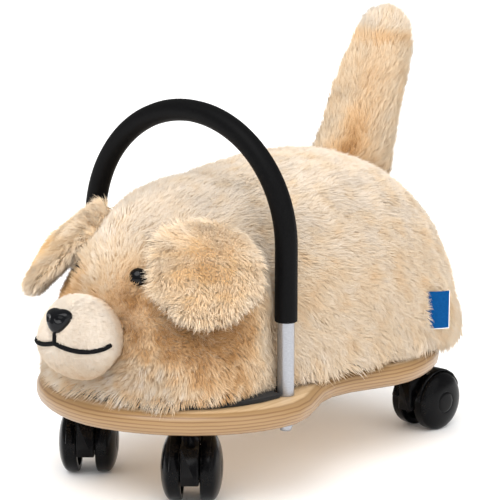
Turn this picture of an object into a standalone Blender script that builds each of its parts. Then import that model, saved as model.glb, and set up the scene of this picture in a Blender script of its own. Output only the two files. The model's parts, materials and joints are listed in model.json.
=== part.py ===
"""Plush dog ride-on: a stuffed dog on a plywood board that rolls on four twin-wheel swivel castors.

Metres, +Z up, floor at z = 0. The dog faces -Y and its left side is +X. Sizes along the toy are measured
from the plane of the bent handle; an empty then puts the middle of the toy's length over the origin.
"""
from math import acos, asin, atan2, cos, exp, pi, radians, sin

import bmesh
import bpy
from mathutils import Matrix, Vector
from mathutils.bvhtree import BVHTree

# Clearances and shared values
GAP = 0.0003                    # between pieces that touch
RUNNING_GAP = 0.0003            # between a pin and the hole it turns in
OVERRUN = 0.004                 # how far a cutter passes through what it cuts
MERGE = 0.00001
TOY_MIDDLE_Y = 0.0700           # middle of the whole toy's length, behind the handle plane

# Plywood board, a figure of eight seen from above
BOARD_UNDERSIDE = 0.0625
BOARD_THICKNESS = 0.017
BOARD_EDGE_RADIUS = 0.0075
FRONT_LOBE_Y = -0.0116
FRONT_LOBE_HALF_WIDTH = 0.1204
FRONT_LOBE_LENGTH = 0.1036
FRONT_LOBE_POWER = 1.85
WAIST_Y = 0.062
WAIST_HALF_WIDTH = 0.0983
REAR_LOBE_Y = 0.138
REAR_LOBE_HALF_WIDTH = 0.1193
REAR_LOBE_LENGTH = 0.127
REAR_LOBE_POWER = 2.0
LOBE_STEPS = 10
WAIST_STEPS = 4

# Bent steel handle, its foam grip and its fixings
HANDLE_HALF_WIDTH = 0.0976
HANDLE_LEG = 0.1108
HANDLE_ARCH_HEIGHT = 0.0951
HANDLE_RADIUS = 0.00635
HANDLE_WALL = 0.0015
HANDLE_ARCH_STEPS = 18
GRIP_WALL = 0.00185
GRIP_START = 0.0555             # height of the grip's end above the board
PLUG_LENGTH = 0.018
BOLT_RADIUS = 0.003
BOLT_HEAD_RADIUS = 0.0053
BOLT_HEAD_HEIGHT = 0.0057
BOLT_REACH = 0.013              # how far the bolt screws up into the plug
WASHER_RADIUS = 0.00875
WASHER_THICKNESS = 0.0035

# Twin-wheel castors
FRONT_CASTOR_INSET = 0.0665     # from the front lobe's widest edge
FRONT_CASTOR_Y = -0.0577
REAR_CASTOR_INSET = 0.0448      # from the rear lobe's widest edge
REAR_CASTOR_Y = 0.2103
CASTOR_TRAIL = 0.0143           # wheel centre behind the swivel axis
FRONT_LEFT_TURN = radians(37)
FRONT_RIGHT_TURN = radians(38)
REAR_LEFT_TURN = radians(-8)
REAR_RIGHT_TURN = radians(8)
WHEEL_RADIUS = 0.025
WHEEL_INNER_FACE = 0.0072       # from the castor's middle plane
WHEEL_TREAD_WIDTH = 0.0078
WHEEL_DOME = 0.0083
WHEEL_RIM_WALL = 0.0045
WHEEL_WEB = 0.0030
WHEEL_HUB_RADIUS = 0.0068
WHEEL_EDGE = 0.0008
WHEEL_RING_RADIUS = 0.0085
WHEEL_RING_WIDTH = 0.0010
WHEEL_RING_DEPTH = 0.0005
WHEEL_STEPS = 18
DOME_STEPS = 4                  # from the ring out to the tread
AXLE_RADIUS = 0.003
AXLE_HALF_LENGTH = 0.0185
HOOD_CLEARANCE = 0.001
HOOD_WALL = 0.0016
HOOD_HALF_WIDTH = 0.0153
HOOD_EDGE = 0.0006
HOOD_BACK_RISE = 0.010          # height of the hood's rear lip above the axle
HOOD_FRONT_RISE = 0.0043        # height of its front lip above the axle
HOOD_SLOT = 0.0020              # open slot between the column and each half of the hood
FIN_THICKNESS = 0.005
FIN_BOTTOM = 0.0200
COLUMN_WIDTH = 0.0136
COLUMN_FRONT = 0.0140           # ahead of the swivel axis
COLUMN_BACK = 0.0080
COLUMN_BOTTOM = 0.0190
COLUMN_TOP = 0.0470
COLUMN_EDGE = 0.0012
AXLE_BOSS_RADIUS = 0.0075
NECK_RADIUS = 0.0085             # of the lip round the neck; its waist is as wide as the column
NECK_LIP = 0.0012
STEM_RADIUS = 0.004
STEM_BOTTOM = 0.0310
STEM_THREAD = 0.0150
COLLAR_RADIUS = 0.0075
COLLAR_HEIGHT = 0.0027
RING_HEIGHT = 0.0400
RING_THICKNESS = 0.0008
RING_RADIUS = 0.0050
RING_GROOVE = 0.0006
ROUND_STEPS = 12
TEE_NUT_RADIUS = 0.0050
TEE_NUT_LENGTH = 0.0120
TEE_FLANGE_RADIUS = 0.0100
TEE_FLANGE = 0.0012
TEE_RECESS = 0.0018

# Stuffed body and head, one swelling form parted at the neck
PAD_THICKNESS = 0.0030
PAD_INSET = 0.0200
PAD_FRONT_INSET = 0.0160
NECK_Y = -0.0300
BELLY_LEVEL = 0.1010            # height at which the body is widest
BELLY_DROP = 0.0700             # how far the round of the belly would reach below that height
BODY_HALF_WIDTH = 0.1175
BODY_WIDEST_Y = 0.182
BODY_REAR_LENGTH = 0.099
BODY_REAR_POWER = 2.3
BODY_TOP = 0.2500
BODY_TOP_Y = 0.1050
BODY_TOP_REAR_POWER = 2.15
WAIST_BODY_HALF_WIDTH = 0.1000
HANDLE_PINCH = 0.0130
HANDLE_PINCH_LENGTH = 0.0180
HEAD_HALF_WIDTH = 0.0965
HEAD_WIDEST_Y = -0.0450
HEAD_FRONT_LENGTH = 0.0650
HEAD_FRONT_LEVEL = 0.1250
HEAD_TOP = 0.2280
HEAD_TOP_Y = -0.0600
BODY_ROUNDNESS = 2.4
BELLY_ROUNDNESS = 4.0
FACE_ROUNDNESS = 1.10
FACE_Y = -0.0720
BODY_SIDES = 16
CAGE_FULLNESS_SHARE = 1.02       # a subdivided cage draws in by about this much
HEAD_END_Y = 0.0200
BODY_START_Y = -0.0700
HEAD_STATION_SHARES = (0.06, 0.16, 0.30, 0.46, 0.62, 0.78, 0.90)
BODY_STATION_SHARES = (0.0, 0.06, 0.12, 0.18, 0.24, 0.34, 0.46, 0.58, 0.69, 0.79, 0.87, 0.93, 0.97, 0.992)

# Muzzle, nose, mouth and eyes
MUZZLE_Y = -0.1156
MUZZLE_Z = 0.1310
MUZZLE_HALF_WIDTH = 0.0340
MUZZLE_DEPTH = 0.0260
MUZZLE_HALF_HEIGHT = 0.0305
NOSE_Z = 0.1463
NOSE_HALF_WIDTH = 0.0128
NOSE_HALF_HEIGHT = 0.0090
NOSE_PROUD = 0.0062
NOSE_TAPER_SHARE = 0.55
NOSE_FULLNESS_SHARE = 0.25      # how far the nose's upper edge is squared off
MOUTH_Z = 0.1305
MOUTH_TURN = radians(85)        # how far round the muzzle each corner of the mouth lies
MOUTH_SAG = 0.0042
MOUTH_LOWEST_SHARE = 0.7
MOUTH_LIFT = 0.0026             # how far the corners turn up
MOUTH_CORD_RADIUS = 0.0012
MOUTH_STEPS = 16
EYE_X = 0.0310
EYE_Z = 0.1750
EYE_RADIUS = 0.0066
EYE_PROUD = 0.0046
EYE_SINK = 0.0040               # how deep the eye's back is set into the plush
EYE_SHANK_RADIUS = 0.0020
EYE_SHANK = 0.0100

# Ears, tail and sewn label
EAR_X = 0.0730
EAR_Y = -0.0570
EAR_Z = 0.1820
EAR_FACING_SHARES = (0.58, -0.42, 0.70)     # the way the ear's outer side looks
EAR_HANG_SHARES = (0.30, -0.69, -0.66)      # the way it hangs, from root to tip
EAR_HALF_WIDTH = 0.0475
EAR_HALF_LENGTH = 0.0510
EAR_HALF_THICKNESS = 0.0125
EAR_CUP = 0.0040
EAR_DROOP = 0.0030              # how far the tip bends down from the ear's own plane
EAR_ROOT_SHARE = 0.18           # how much narrower the ear is at its root
EAR_ACROSS = 12
EAR_AROUND = 7
TAIL_BASE_Y = 0.2080
TAIL_BASE_Z = 0.1950
TAIL_TIP_Y = 0.2660
TAIL_TIP_Z = 0.3600
TAIL_RADIUS = 0.0310
TAIL_SIDES = 12
TAIL_STATION_SHARES = ((0.0, 0.98), (0.30, 1.02), (0.55, 1.03), (0.75, 1.0), (0.88, 0.90), (0.96, 0.60))
LABEL_Y = 0.1830
LABEL_Z = 0.1150
LABEL_WIDTH = 0.0265
LABEL_HEIGHT = 0.0320
LABEL_THICKNESS = 0.0010

BOARD_TOP = BOARD_UNDERSIDE + BOARD_THICKNESS
PAD_BOTTOM = BOARD_TOP + GAP
PAD_TOP = PAD_BOTTOM + PAD_THICKNESS
PLUSH_BOTTOM = PAD_TOP + GAP
PLUSH_FRONT_Y = HEAD_WIDEST_Y - HEAD_FRONT_LENGTH
PLUSH_REAR_Y = BODY_WIDEST_Y + BODY_REAR_LENGTH


def clear_scene():
    for item in list(bpy.data.objects):
        bpy.data.objects.remove(item, do_unlink=True)


def new_collection(name):
    group = bpy.data.collections.new(name)
    bpy.context.scene.collection.children.link(group)
    return group


def finish(name, colour, roughness, metallic=0.0):
    """A plain Principled finish with the part's own colour."""
    result = bpy.data.materials.new(name)
    result.use_nodes = True
    shader = result.node_tree.nodes["Principled BSDF"]
    shader.inputs["Base Color"].default_value = (*colour, 1.0)
    shader.inputs["Roughness"].default_value = roughness
    shader.inputs["Metallic"].default_value = metallic
    return result


clear_scene()
PARTS = new_collection("plush_ride_on_dog")
CUTTERS = new_collection("cutters")
BIRCH = finish("birch_plywood", (0.74, 0.55, 0.34), 0.45)
STEEL = finish("satin_steel", (0.62, 0.63, 0.67), 0.35, 1.0)
BLACK_PLASTIC = finish("black_plastic", (0.012, 0.012, 0.014), 0.35)
GRIP_FOAM = finish("black_grip", (0.014, 0.014, 0.015), 0.6)
PLUSH = finish("cream_plush", (0.86, 0.70, 0.48), 0.95)
MUZZLE_PILE = finish("pale_short_pile", (0.88, 0.76, 0.62), 0.9)
BLACK_CLOTH = finish("black_cloth", (0.02, 0.02, 0.02), 0.95)
GLOSS_BLACK = finish("gloss_black", (0.005, 0.005, 0.006), 0.12)
BLUE_TAPE = finish("blue_tape", (0.02, 0.14, 0.50), 0.7)


def empty(name, place, turn=0.0, parent=None):
    """A guide that carries pieces; it stands on a joint's axis or at the toy's reference point."""
    guide = bpy.data.objects.new(name, None)
    guide.location = place
    guide.rotation_euler = (0, 0, turn)
    guide.parent = parent
    guide.hide_render = True
    CUTTERS.objects.link(guide)
    return guide


def helper(item):
    """Files an object under the cutters, so that it shapes its neighbours and is not a piece itself."""
    CUTTERS.objects.link(item)
    item.hide_render = True
    item.display_type = "WIRE"
    return item


def piece(name, mesh, look, parent, place=(0, 0, 0), spin=(0, 0, 0)):
    """A named piece of the toy, placed under its guide."""
    mesh.materials.clear()
    mesh.materials.append(look)
    mesh.shade_smooth()
    mesh.set_sharp_from_angle(angle=radians(35))
    item = bpy.data.objects.new(name, mesh)
    item.location = place
    item.rotation_euler = spin
    item.parent = parent
    PARTS.objects.link(item)
    return item


def from_bmesh(name, shape):
    mesh = bpy.data.meshes.new(name)
    shape.to_mesh(mesh)
    shape.free()
    return helper(bpy.data.objects.new(name, mesh))


def block(name, low, high, edge=0.0):
    """A box between two corners; its upright edges are rounded when an edge radius is given."""
    shape = bmesh.new()
    bmesh.ops.create_cube(shape, size=1.0)
    for vertex in shape.verts:
        for axis in range(3):
            middle = (low[axis] + high[axis]) / 2
            vertex.co[axis] = middle + vertex.co[axis] * (high[axis] - low[axis])
    if edge:
        upright = [line for line in shape.edges if abs(line.verts[0].co.z - line.verts[1].co.z) > edge]
        bmesh.ops.bevel(shape, geom=upright, offset=edge, segments=2, affect="EDGES", profile=0.5)
    return from_bmesh(name, shape)


def rod(name, radius, bottom, top, along_x=False, place=(0, 0, 0), steps=ROUND_STEPS):
    """A plain round bar, upright or lying along X."""
    shape = bmesh.new()
    bmesh.ops.create_cone(shape, cap_ends=True, segments=steps, radius1=radius, radius2=radius,
                          depth=top - bottom)
    bmesh.ops.translate(shape, verts=shape.verts, vec=(0, 0, (top + bottom) / 2))
    if along_x:
        bmesh.ops.rotate(shape, verts=shape.verts, matrix=Matrix.Rotation(pi / 2, 3, "Y"))
    bmesh.ops.translate(shape, verts=shape.verts, vec=place)
    return from_bmesh(name, shape)


def turned(name, profile, closed=False, steps=ROUND_STEPS, along_x=False, place=(0, 0, 0)):
    """A turned shape from (radius, height) points that run down the outer side."""
    mesh = bpy.data.meshes.new(name)
    count = len(profile)
    lines = [(index, index + 1) for index in range(count - 1)]
    if closed:
        lines.append((count - 1, 0))
    mesh.from_pydata([(radius, 0, height) for radius, height in profile], lines, [])
    item = helper(bpy.data.objects.new(name, mesh))
    screw = item.modifiers.new("turn", "SCREW")
    screw.axis = "Z"
    screw.steps = steps
    screw.render_steps = steps
    screw.use_merge_vertices = True
    screw.merge_threshold = MERGE
    screw.use_normal_calculate = True
    result = solid_mesh(item)
    if along_x:
        result.transform(Matrix.Rotation(pi / 2, 4, "Y"))
    result.transform(Matrix.Translation(place))
    return helper(bpy.data.objects.new(name, result))


def solid_mesh(item):
    """The finished mesh of a helper as the viewport shows it, welded and facing outwards."""
    bpy.context.view_layer.update()
    seen = item.evaluated_get(bpy.context.evaluated_depsgraph_get())
    mesh = bpy.data.meshes.new_from_object(seen)
    mesh.transform(item.matrix_world)
    shape = bmesh.new()
    shape.from_mesh(mesh)
    bmesh.ops.remove_doubles(shape, verts=shape.verts, dist=MERGE)
    bmesh.ops.recalc_face_normals(shape, faces=shape.faces)
    shape.to_mesh(mesh)
    shape.free()
    bpy.data.objects.remove(item, do_unlink=True)
    return mesh


def combine(item, operation, tools):
    """Boolean operations with the given helpers, kept as modifiers until the mesh is taken."""
    for tool in tools:
        change = item.modifiers.new(tool.name, "BOOLEAN")
        change.operation = operation
        change.solver = "EXACT"
        change.object = tool
    return item


def made(item, added=(), removed=()):
    """Joins and cuts a helper, and returns the mesh."""
    combine(item, "UNION", added)
    combine(item, "DIFFERENCE", removed)
    mesh = solid_mesh(item)
    for tool in (*added, *removed):
        bpy.data.objects.remove(tool, do_unlink=True)
    return mesh


def superellipse(share, power):
    """Height of a unit superellipse at a share of its half length."""
    return max(0.0, 1.0 - min(1.0, abs(share)) ** power) ** (1.0 / power)


def ease(share):
    """0 to 1 with level ends."""
    return 0.5 - 0.5 * cos(pi * min(1.0, max(0.0, share)))


# Plywood board
def board_half_width(y):
    if y <= FRONT_LOBE_Y:
        share = (FRONT_LOBE_Y - y) / FRONT_LOBE_LENGTH
        return FRONT_LOBE_HALF_WIDTH * superellipse(share, FRONT_LOBE_POWER)
    if y >= REAR_LOBE_Y:
        share = (y - REAR_LOBE_Y) / REAR_LOBE_LENGTH
        return REAR_LOBE_HALF_WIDTH * superellipse(share, REAR_LOBE_POWER)
    if y <= WAIST_Y:
        into = ease((y - FRONT_LOBE_Y) / (WAIST_Y - FRONT_LOBE_Y))
        return FRONT_LOBE_HALF_WIDTH + (WAIST_HALF_WIDTH - FRONT_LOBE_HALF_WIDTH) * into
    out = ease((y - WAIST_Y) / (REAR_LOBE_Y - WAIST_Y))
    return WAIST_HALF_WIDTH + (REAR_LOBE_HALF_WIDTH - WAIST_HALF_WIDTH) * out


def side_points():
    """The board's left outline from its front end to its rear end."""
    turns = [pi / 2 * step / LOBE_STEPS for step in range(LOBE_STEPS + 1)]
    front = [FRONT_LOBE_Y - FRONT_LOBE_LENGTH * cos(turn) for turn in turns[:-1]]
    to_waist = [FRONT_LOBE_Y + (WAIST_Y - FRONT_LOBE_Y) * step / WAIST_STEPS for step in range(WAIST_STEPS)]
    from_waist = [WAIST_Y + (REAR_LOBE_Y - WAIST_Y) * step / WAIST_STEPS for step in range(WAIST_STEPS)]
    rear = [REAR_LOBE_Y + REAR_LOBE_LENGTH * sin(turn) for turn in turns]
    return [(board_half_width(y), y) for y in front + to_waist + from_waist + rear]


def flat_outline(name, side, bottom, thickness, edge, resolution):
    """A flat symmetric plate with rounded edges, from its left outline."""
    points = side + [(-x, y) for x, y in reversed(side[1:-1])]
    curve = bpy.data.curves.new(name, "CURVE")
    curve.dimensions = "2D"
    curve.fill_mode = "BOTH"
    curve.bevel_depth = edge
    curve.bevel_resolution = resolution
    curve.offset = -edge
    curve.extrude = thickness / 2 - edge
    spline = curve.splines.new("POLY")
    spline.points.add(len(points) - 1)
    for point, (x, y) in zip(spline.points, points):
        point.co = (x, y, 0, 1)
    spline.use_cyclic_u = True
    item = helper(bpy.data.objects.new(name, curve))
    item.location.z = bottom + thickness / 2
    return helper(bpy.data.objects.new(name, solid_mesh(item)))


def castor_places():
    front_x = FRONT_LOBE_HALF_WIDTH - FRONT_CASTOR_INSET
    rear_x = REAR_LOBE_HALF_WIDTH - REAR_CASTOR_INSET
    return (("front_left", front_x, FRONT_CASTOR_Y, FRONT_LEFT_TURN),
            ("front_right", -front_x, FRONT_CASTOR_Y, FRONT_RIGHT_TURN),
            ("rear_left", rear_x, REAR_CASTOR_Y, REAR_LEFT_TURN),
            ("rear_right", -rear_x, REAR_CASTOR_Y, REAR_RIGHT_TURN))


def make_board(toy):
    plate = flat_outline("board_blank", side_points(), BOARD_UNDERSIDE, BOARD_THICKNESS, BOARD_EDGE_RADIUS, 2)
    low = BOARD_UNDERSIDE - OVERRUN
    high = BOARD_TOP + OVERRUN
    holes = []
    for name, x, y, turn in castor_places():
        hole = rod("barrel_hole_" + name, TEE_NUT_RADIUS + GAP, low, high, place=(x, y, 0))
        recess = rod("flange_recess_" + name, TEE_FLANGE_RADIUS + GAP, BOARD_TOP - TEE_RECESS, high,
                     place=(x, y, 0))
        holes += [hole, recess]
    for side in (1, -1):
        holes.append(rod("bolt_hole", BOLT_RADIUS + GAP, low, high, place=(side * HANDLE_HALF_WIDTH, 0, 0)))
    return piece("board", made(plate, removed=holes), BIRCH, toy)


# Handle
def handle_line(start):
    """The handle's centre line, from a height on the left leg over the arch to the same height."""
    foot = BOARD_TOP + GAP
    shoulder = BOARD_TOP + HANDLE_LEG
    points = [Vector((HANDLE_HALF_WIDTH, 0, foot + start))]
    for step in range(HANDLE_ARCH_STEPS + 1):
        angle = pi * step / HANDLE_ARCH_STEPS
        points.append(Vector((HANDLE_HALF_WIDTH * cos(angle), 0, shoulder + HANDLE_ARCH_HEIGHT * sin(angle))))
    points.append(Vector((-HANDLE_HALF_WIDTH, 0, foot + start)))
    return points


def tube(name, points, radius, resolution):
    """A round bar along a line of points, with closed ends."""
    curve = bpy.data.curves.new(name, "CURVE")
    curve.dimensions = "3D"
    curve.bevel_depth = radius
    curve.bevel_resolution = resolution
    curve.use_fill_caps = True
    spline = curve.splines.new("POLY")
    spline.points.add(len(points) - 1)
    for point, place in zip(spline.points, points):
        point.co = (*place, 1)
    item = helper(bpy.data.objects.new(name, curve))
    return helper(bpy.data.objects.new(name, solid_mesh(item)))


def handle_room():
    """A cutter that leaves the handle and its grip their room in the plush."""
    return tube("handle_room", handle_line(0), HANDLE_RADIUS + GAP + GRIP_WALL + GAP, 3)


def make_handle(toy):
    bore = tube("handle_bore", handle_line(-OVERRUN), HANDLE_RADIUS - HANDLE_WALL, 3)
    steel = tube("handle_outside", handle_line(0), HANDLE_RADIUS, 3)
    piece("handle_tube", made(steel, removed=[bore]), STEEL, toy)
    inside = HANDLE_RADIUS + GAP
    sleeve_bore = tube("grip_bore", handle_line(GRIP_START - OVERRUN), inside, 3)
    sleeve = tube("grip_outside", handle_line(GRIP_START), inside + GRIP_WALL, 3)
    piece("handle_grip", made(sleeve, removed=[sleeve_bore]), GRIP_FOAM, toy)

    foot = BOARD_TOP + GAP
    plug_radius = HANDLE_RADIUS - HANDLE_WALL - GAP
    bore_radius = BOLT_RADIUS + GAP
    washer_top = BOARD_UNDERSIDE - GAP
    washer_bottom = washer_top - WASHER_THICKNESS
    head_top = washer_bottom - GAP
    head_round = BOLT_HEAD_RADIUS - BOLT_RADIUS
    plug = ((plug_radius, foot + PLUG_LENGTH), (plug_radius, foot), (bore_radius, foot),
            (bore_radius, foot + PLUG_LENGTH))
    washer = ((WASHER_RADIUS, washer_top), (WASHER_RADIUS, washer_bottom), (bore_radius, washer_bottom),
              (bore_radius, washer_top))
    bolt = ((0, foot + BOLT_REACH), (BOLT_RADIUS, foot + BOLT_REACH), (BOLT_RADIUS, head_top),
            (BOLT_HEAD_RADIUS, head_top), (BOLT_HEAD_RADIUS, head_top - BOLT_HEAD_HEIGHT / 2),
            (BOLT_HEAD_RADIUS - head_round / 2, head_top - BOLT_HEAD_HEIGHT),
            (0, head_top - BOLT_HEAD_HEIGHT))
    for side, x in (("left", HANDLE_HALF_WIDTH), ("right", -HANDLE_HALF_WIDTH)):
        place = (x, 0, 0)
        piece("handle_plug_" + side, solid_mesh(turned("plug", plug, closed=True)), STEEL, toy, place)
        piece("handle_washer_" + side, solid_mesh(turned("washer", washer, closed=True)), BLACK_PLASTIC,
              toy, place)
        piece("handle_bolt_" + side, solid_mesh(turned("bolt", bolt)), STEEL, toy, place)


# Castors, each modelled with its swivel axis on Z and its wheels behind it, towards +Y
def wheel_profile():
    """Half section of one wheel: domed face, tread, hollow back, hub and blind axle bore."""
    tread_outer = WHEEL_INNER_FACE + WHEEL_TREAD_WIDTH
    face = tread_outer + WHEEL_DOME

    def dome(radius):
        return tread_outer + WHEEL_DOME * superellipse(radius / WHEEL_RADIUS, 2.0)

    ring_outer = WHEEL_RING_RADIUS + WHEEL_RING_WIDTH
    points = [(0, face), (WHEEL_RING_RADIUS, dome(WHEEL_RING_RADIUS))]
    points.append((WHEEL_RING_RADIUS, dome(WHEEL_RING_RADIUS) - WHEEL_RING_DEPTH))
    points.append((ring_outer, dome(ring_outer) - WHEEL_RING_DEPTH))
    points.append((ring_outer, dome(ring_outer)))
    for step in range(1, DOME_STEPS):
        angle = acos(ring_outer / WHEEL_RADIUS) * (1 - step / DOME_STEPS)
        points.append((WHEEL_RADIUS * cos(angle), dome(WHEEL_RADIUS * cos(angle))))
    points.append((WHEEL_RADIUS, tread_outer))
    points.append((WHEEL_RADIUS, WHEEL_INNER_FACE + WHEEL_EDGE))
    points.append((WHEEL_RADIUS - WHEEL_EDGE, WHEEL_INNER_FACE))
    rim_inner = WHEEL_RADIUS - WHEEL_RIM_WALL
    web_back = dome(rim_inner) - WHEEL_WEB
    bore_radius = AXLE_RADIUS + RUNNING_GAP
    points.append((rim_inner, WHEEL_INNER_FACE))
    points.append((rim_inner, web_back))
    points.append((WHEEL_HUB_RADIUS, web_back))
    points.append((WHEEL_HUB_RADIUS, WHEEL_INNER_FACE))
    points.append((bore_radius, WHEEL_INNER_FACE))
    points.append((bore_radius, AXLE_HALF_LENGTH + GAP))
    points.append((0, AXLE_HALF_LENGTH + GAP))
    return points


def make_housing():
    """The moulded castor body: stem column, hood over both treads, fin, axle boss and neck."""
    axle = (0, CASTOR_TRAIL, WHEEL_RADIUS)
    hood_inner = WHEEL_RADIUS + HOOD_CLEARANCE
    hood_outer = hood_inner + HOOD_WALL
    shoulder = hood_outer - HOOD_EDGE
    section = ((shoulder, HOOD_HALF_WIDTH), (hood_outer, HOOD_HALF_WIDTH - HOOD_EDGE),
               (hood_outer, -HOOD_HALF_WIDTH + HOOD_EDGE), (shoulder, -HOOD_HALF_WIDTH),
               (hood_inner, -HOOD_HALF_WIDTH), (hood_inner, HOOD_HALF_WIDTH))
    hood = turned("hood", section, closed=True, steps=WHEEL_STEPS, along_x=True, place=axle)
    reach = hood_outer + OVERRUN
    wide = HOOD_HALF_WIDTH + OVERRUN
    far = CASTOR_TRAIL + reach
    below = block("below_hood", (-wide, -reach, WHEEL_RADIUS - reach),
                  (wide, far, WHEEL_RADIUS + HOOD_FRONT_RISE))
    rear = block("behind_hood", (-wide, CASTOR_TRAIL, WHEEL_RADIUS - reach),
                 (wide, far, WHEEL_RADIUS + HOOD_BACK_RISE))
    half_column = COLUMN_WIDTH / 2
    cuts = [below, rear]
    for inner, outer in ((half_column, half_column + HOOD_SLOT), (-half_column - HOOD_SLOT, -half_column)):
        slot = block("hood_slot", (inner, -reach, WHEEL_RADIUS), (outer, COLUMN_BACK, WHEEL_RADIUS + reach))
        cuts.append(slot)
    shell = helper(bpy.data.objects.new("hood_shell", made(hood, removed=cuts)))

    half_fin = FIN_THICKNESS / 2
    fin = rod("fin", hood_inner + HOOD_WALL / 2, -half_fin, half_fin, along_x=True, place=axle,
              steps=WHEEL_STEPS)
    trim = block("below_fin", (-wide, -reach, WHEEL_RADIUS - reach), (wide, far, FIN_BOTTOM))
    column = block("column", (-half_column, -COLUMN_FRONT, COLUMN_BOTTOM),
                   (half_column, COLUMN_BACK, COLUMN_TOP), COLUMN_EDGE)
    boss = rod("axle_boss", AXLE_BOSS_RADIUS, -half_column, half_column, along_x=True, place=axle)
    neck_top = BOARD_UNDERSIDE - GAP - COLLAR_HEIGHT - GAP
    neck_low = (COLUMN_TOP + COLUMN_BOTTOM) / 2
    neck = turned("neck", ((0, neck_top), (half_column, neck_top), (NECK_RADIUS, neck_top - NECK_LIP),
                           (NECK_RADIUS, neck_top - NECK_LIP * 2), (half_column, neck_top - NECK_LIP * 3),
                           (half_column, neck_low), (0, neck_low)))

    bore = STEM_RADIUS + RUNNING_GAP
    pocket_radius = RING_RADIUS + RUNNING_GAP
    pocket_top = RING_HEIGHT + RING_THICKNESS / 2 + RUNNING_GAP
    pocket_low = RING_HEIGHT - RING_THICKNESS / 2 - RUNNING_GAP
    socket = turned("socket", ((0, neck_top + OVERRUN), (bore, neck_top + OVERRUN), (bore, pocket_top),
                               (pocket_radius, pocket_top), (pocket_radius, pocket_low), (bore, pocket_low),
                               (bore, STEM_BOTTOM - GAP), (0, STEM_BOTTOM - GAP)))
    axle_bore = rod("axle_bore", AXLE_RADIUS + GAP, -wide, wide, along_x=True, place=axle)
    trimmed = helper(bpy.data.objects.new("trimmed_fin", made(fin, removed=[trim])))
    return made(column, added=[trimmed, shell, boss, neck], removed=[socket, axle_bore])


def make_stem():
    """The steel stem: thread, hexagon collar and pin with its snap-ring groove."""
    collar_top = BOARD_UNDERSIDE - GAP
    collar_low = collar_top - COLLAR_HEIGHT
    thread_top = BOARD_UNDERSIDE + STEM_THREAD
    groove = STEM_RADIUS - RING_GROOVE
    groove_top = RING_HEIGHT + RING_THICKNESS / 2 + GAP
    groove_low = RING_HEIGHT - RING_THICKNESS / 2 - GAP
    pin = turned("pin", ((0, thread_top), (STEM_RADIUS, thread_top), (STEM_RADIUS, groove_top),
                         (groove, groove_top), (groove, groove_low), (STEM_RADIUS, groove_low),
                         (STEM_RADIUS, STEM_BOTTOM), (0, STEM_BOTTOM)))
    collar = rod("collar", COLLAR_RADIUS, collar_low, collar_top, steps=6)
    return made(pin, added=[collar])


def make_castors(toy):
    wheel = solid_mesh(turned("wheel", wheel_profile(), steps=WHEEL_STEPS, along_x=True))
    housing = make_housing()
    stem = make_stem()
    axle = solid_mesh(rod("axle", AXLE_RADIUS, -AXLE_HALF_LENGTH, AXLE_HALF_LENGTH, along_x=True, steps=12))
    inner = STEM_RADIUS - RING_GROOVE + GAP
    ring_top = RING_HEIGHT + RING_THICKNESS / 2
    ring_low = RING_HEIGHT - RING_THICKNESS / 2
    ring = solid_mesh(turned("ring", ((RING_RADIUS, ring_top), (RING_RADIUS, ring_low), (inner, ring_low),
                                      (inner, ring_top)), closed=True))
    flange_low = BOARD_TOP - TEE_RECESS + GAP
    flange_top = flange_low + TEE_FLANGE
    barrel_low = flange_low - TEE_NUT_LENGTH
    thread = STEM_RADIUS + GAP
    nut = solid_mesh(turned("nut", ((TEE_FLANGE_RADIUS, flange_top), (TEE_FLANGE_RADIUS, flange_low),
                                    (TEE_NUT_RADIUS, flange_low), (TEE_NUT_RADIUS, barrel_low),
                                    (thread, barrel_low), (thread, flange_top)), closed=True))
    for name, x, y, turn in castor_places():
        swivel = empty("swivel_" + name, (x, y, 0), turn, toy)
        hub = empty("axle_line_" + name, (0, CASTOR_TRAIL, WHEEL_RADIUS), 0.0, swivel)
        piece("tee_nut_" + name, nut.copy(), STEEL, swivel)
        piece("castor_stem_" + name, stem.copy(), STEEL, swivel)
        piece("castor_snap_ring_" + name, ring.copy(), STEEL, swivel)
        piece("castor_housing_" + name, housing.copy(), BLACK_PLASTIC, swivel)
        piece("castor_axle_" + name, axle.copy(), STEEL, hub)
        piece("wheel_a_" + name, wheel.copy(), BLACK_PLASTIC, hub)
        piece("wheel_b_" + name, wheel.copy(), BLACK_PLASTIC, hub, spin=(0, 0, pi))


# Stuffed forms
def plush_half_width(y):
    """Half width of the head and body at their widest height."""
    if y <= HEAD_WIDEST_Y:
        share = (HEAD_WIDEST_Y - y) / HEAD_FRONT_LENGTH
        return HEAD_HALF_WIDTH * superellipse(share, 2.0)
    if y >= BODY_WIDEST_Y:
        share = (y - BODY_WIDEST_Y) / BODY_REAR_LENGTH
        return BODY_HALF_WIDTH * superellipse(share, BODY_REAR_POWER)
    if y <= 0:
        width = HEAD_HALF_WIDTH + (WAIST_BODY_HALF_WIDTH - HEAD_HALF_WIDTH) * ease(1 - y / HEAD_WIDEST_Y)
    else:
        swell = sin(pi / 2 * y / BODY_WIDEST_Y)
        width = WAIST_BODY_HALF_WIDTH + (BODY_HALF_WIDTH - WAIST_BODY_HALF_WIDTH) * swell
    return width - HANDLE_PINCH * exp(-(y / HANDLE_PINCH_LENGTH) ** 2)


def plush_belly(y):
    """Height of the widest line: level along the body, higher at the tip of the face."""
    lift = ease((HEAD_WIDEST_Y - y) / HEAD_FRONT_LENGTH)
    return BELLY_LEVEL + (HEAD_FRONT_LEVEL - BELLY_LEVEL) * lift


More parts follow.
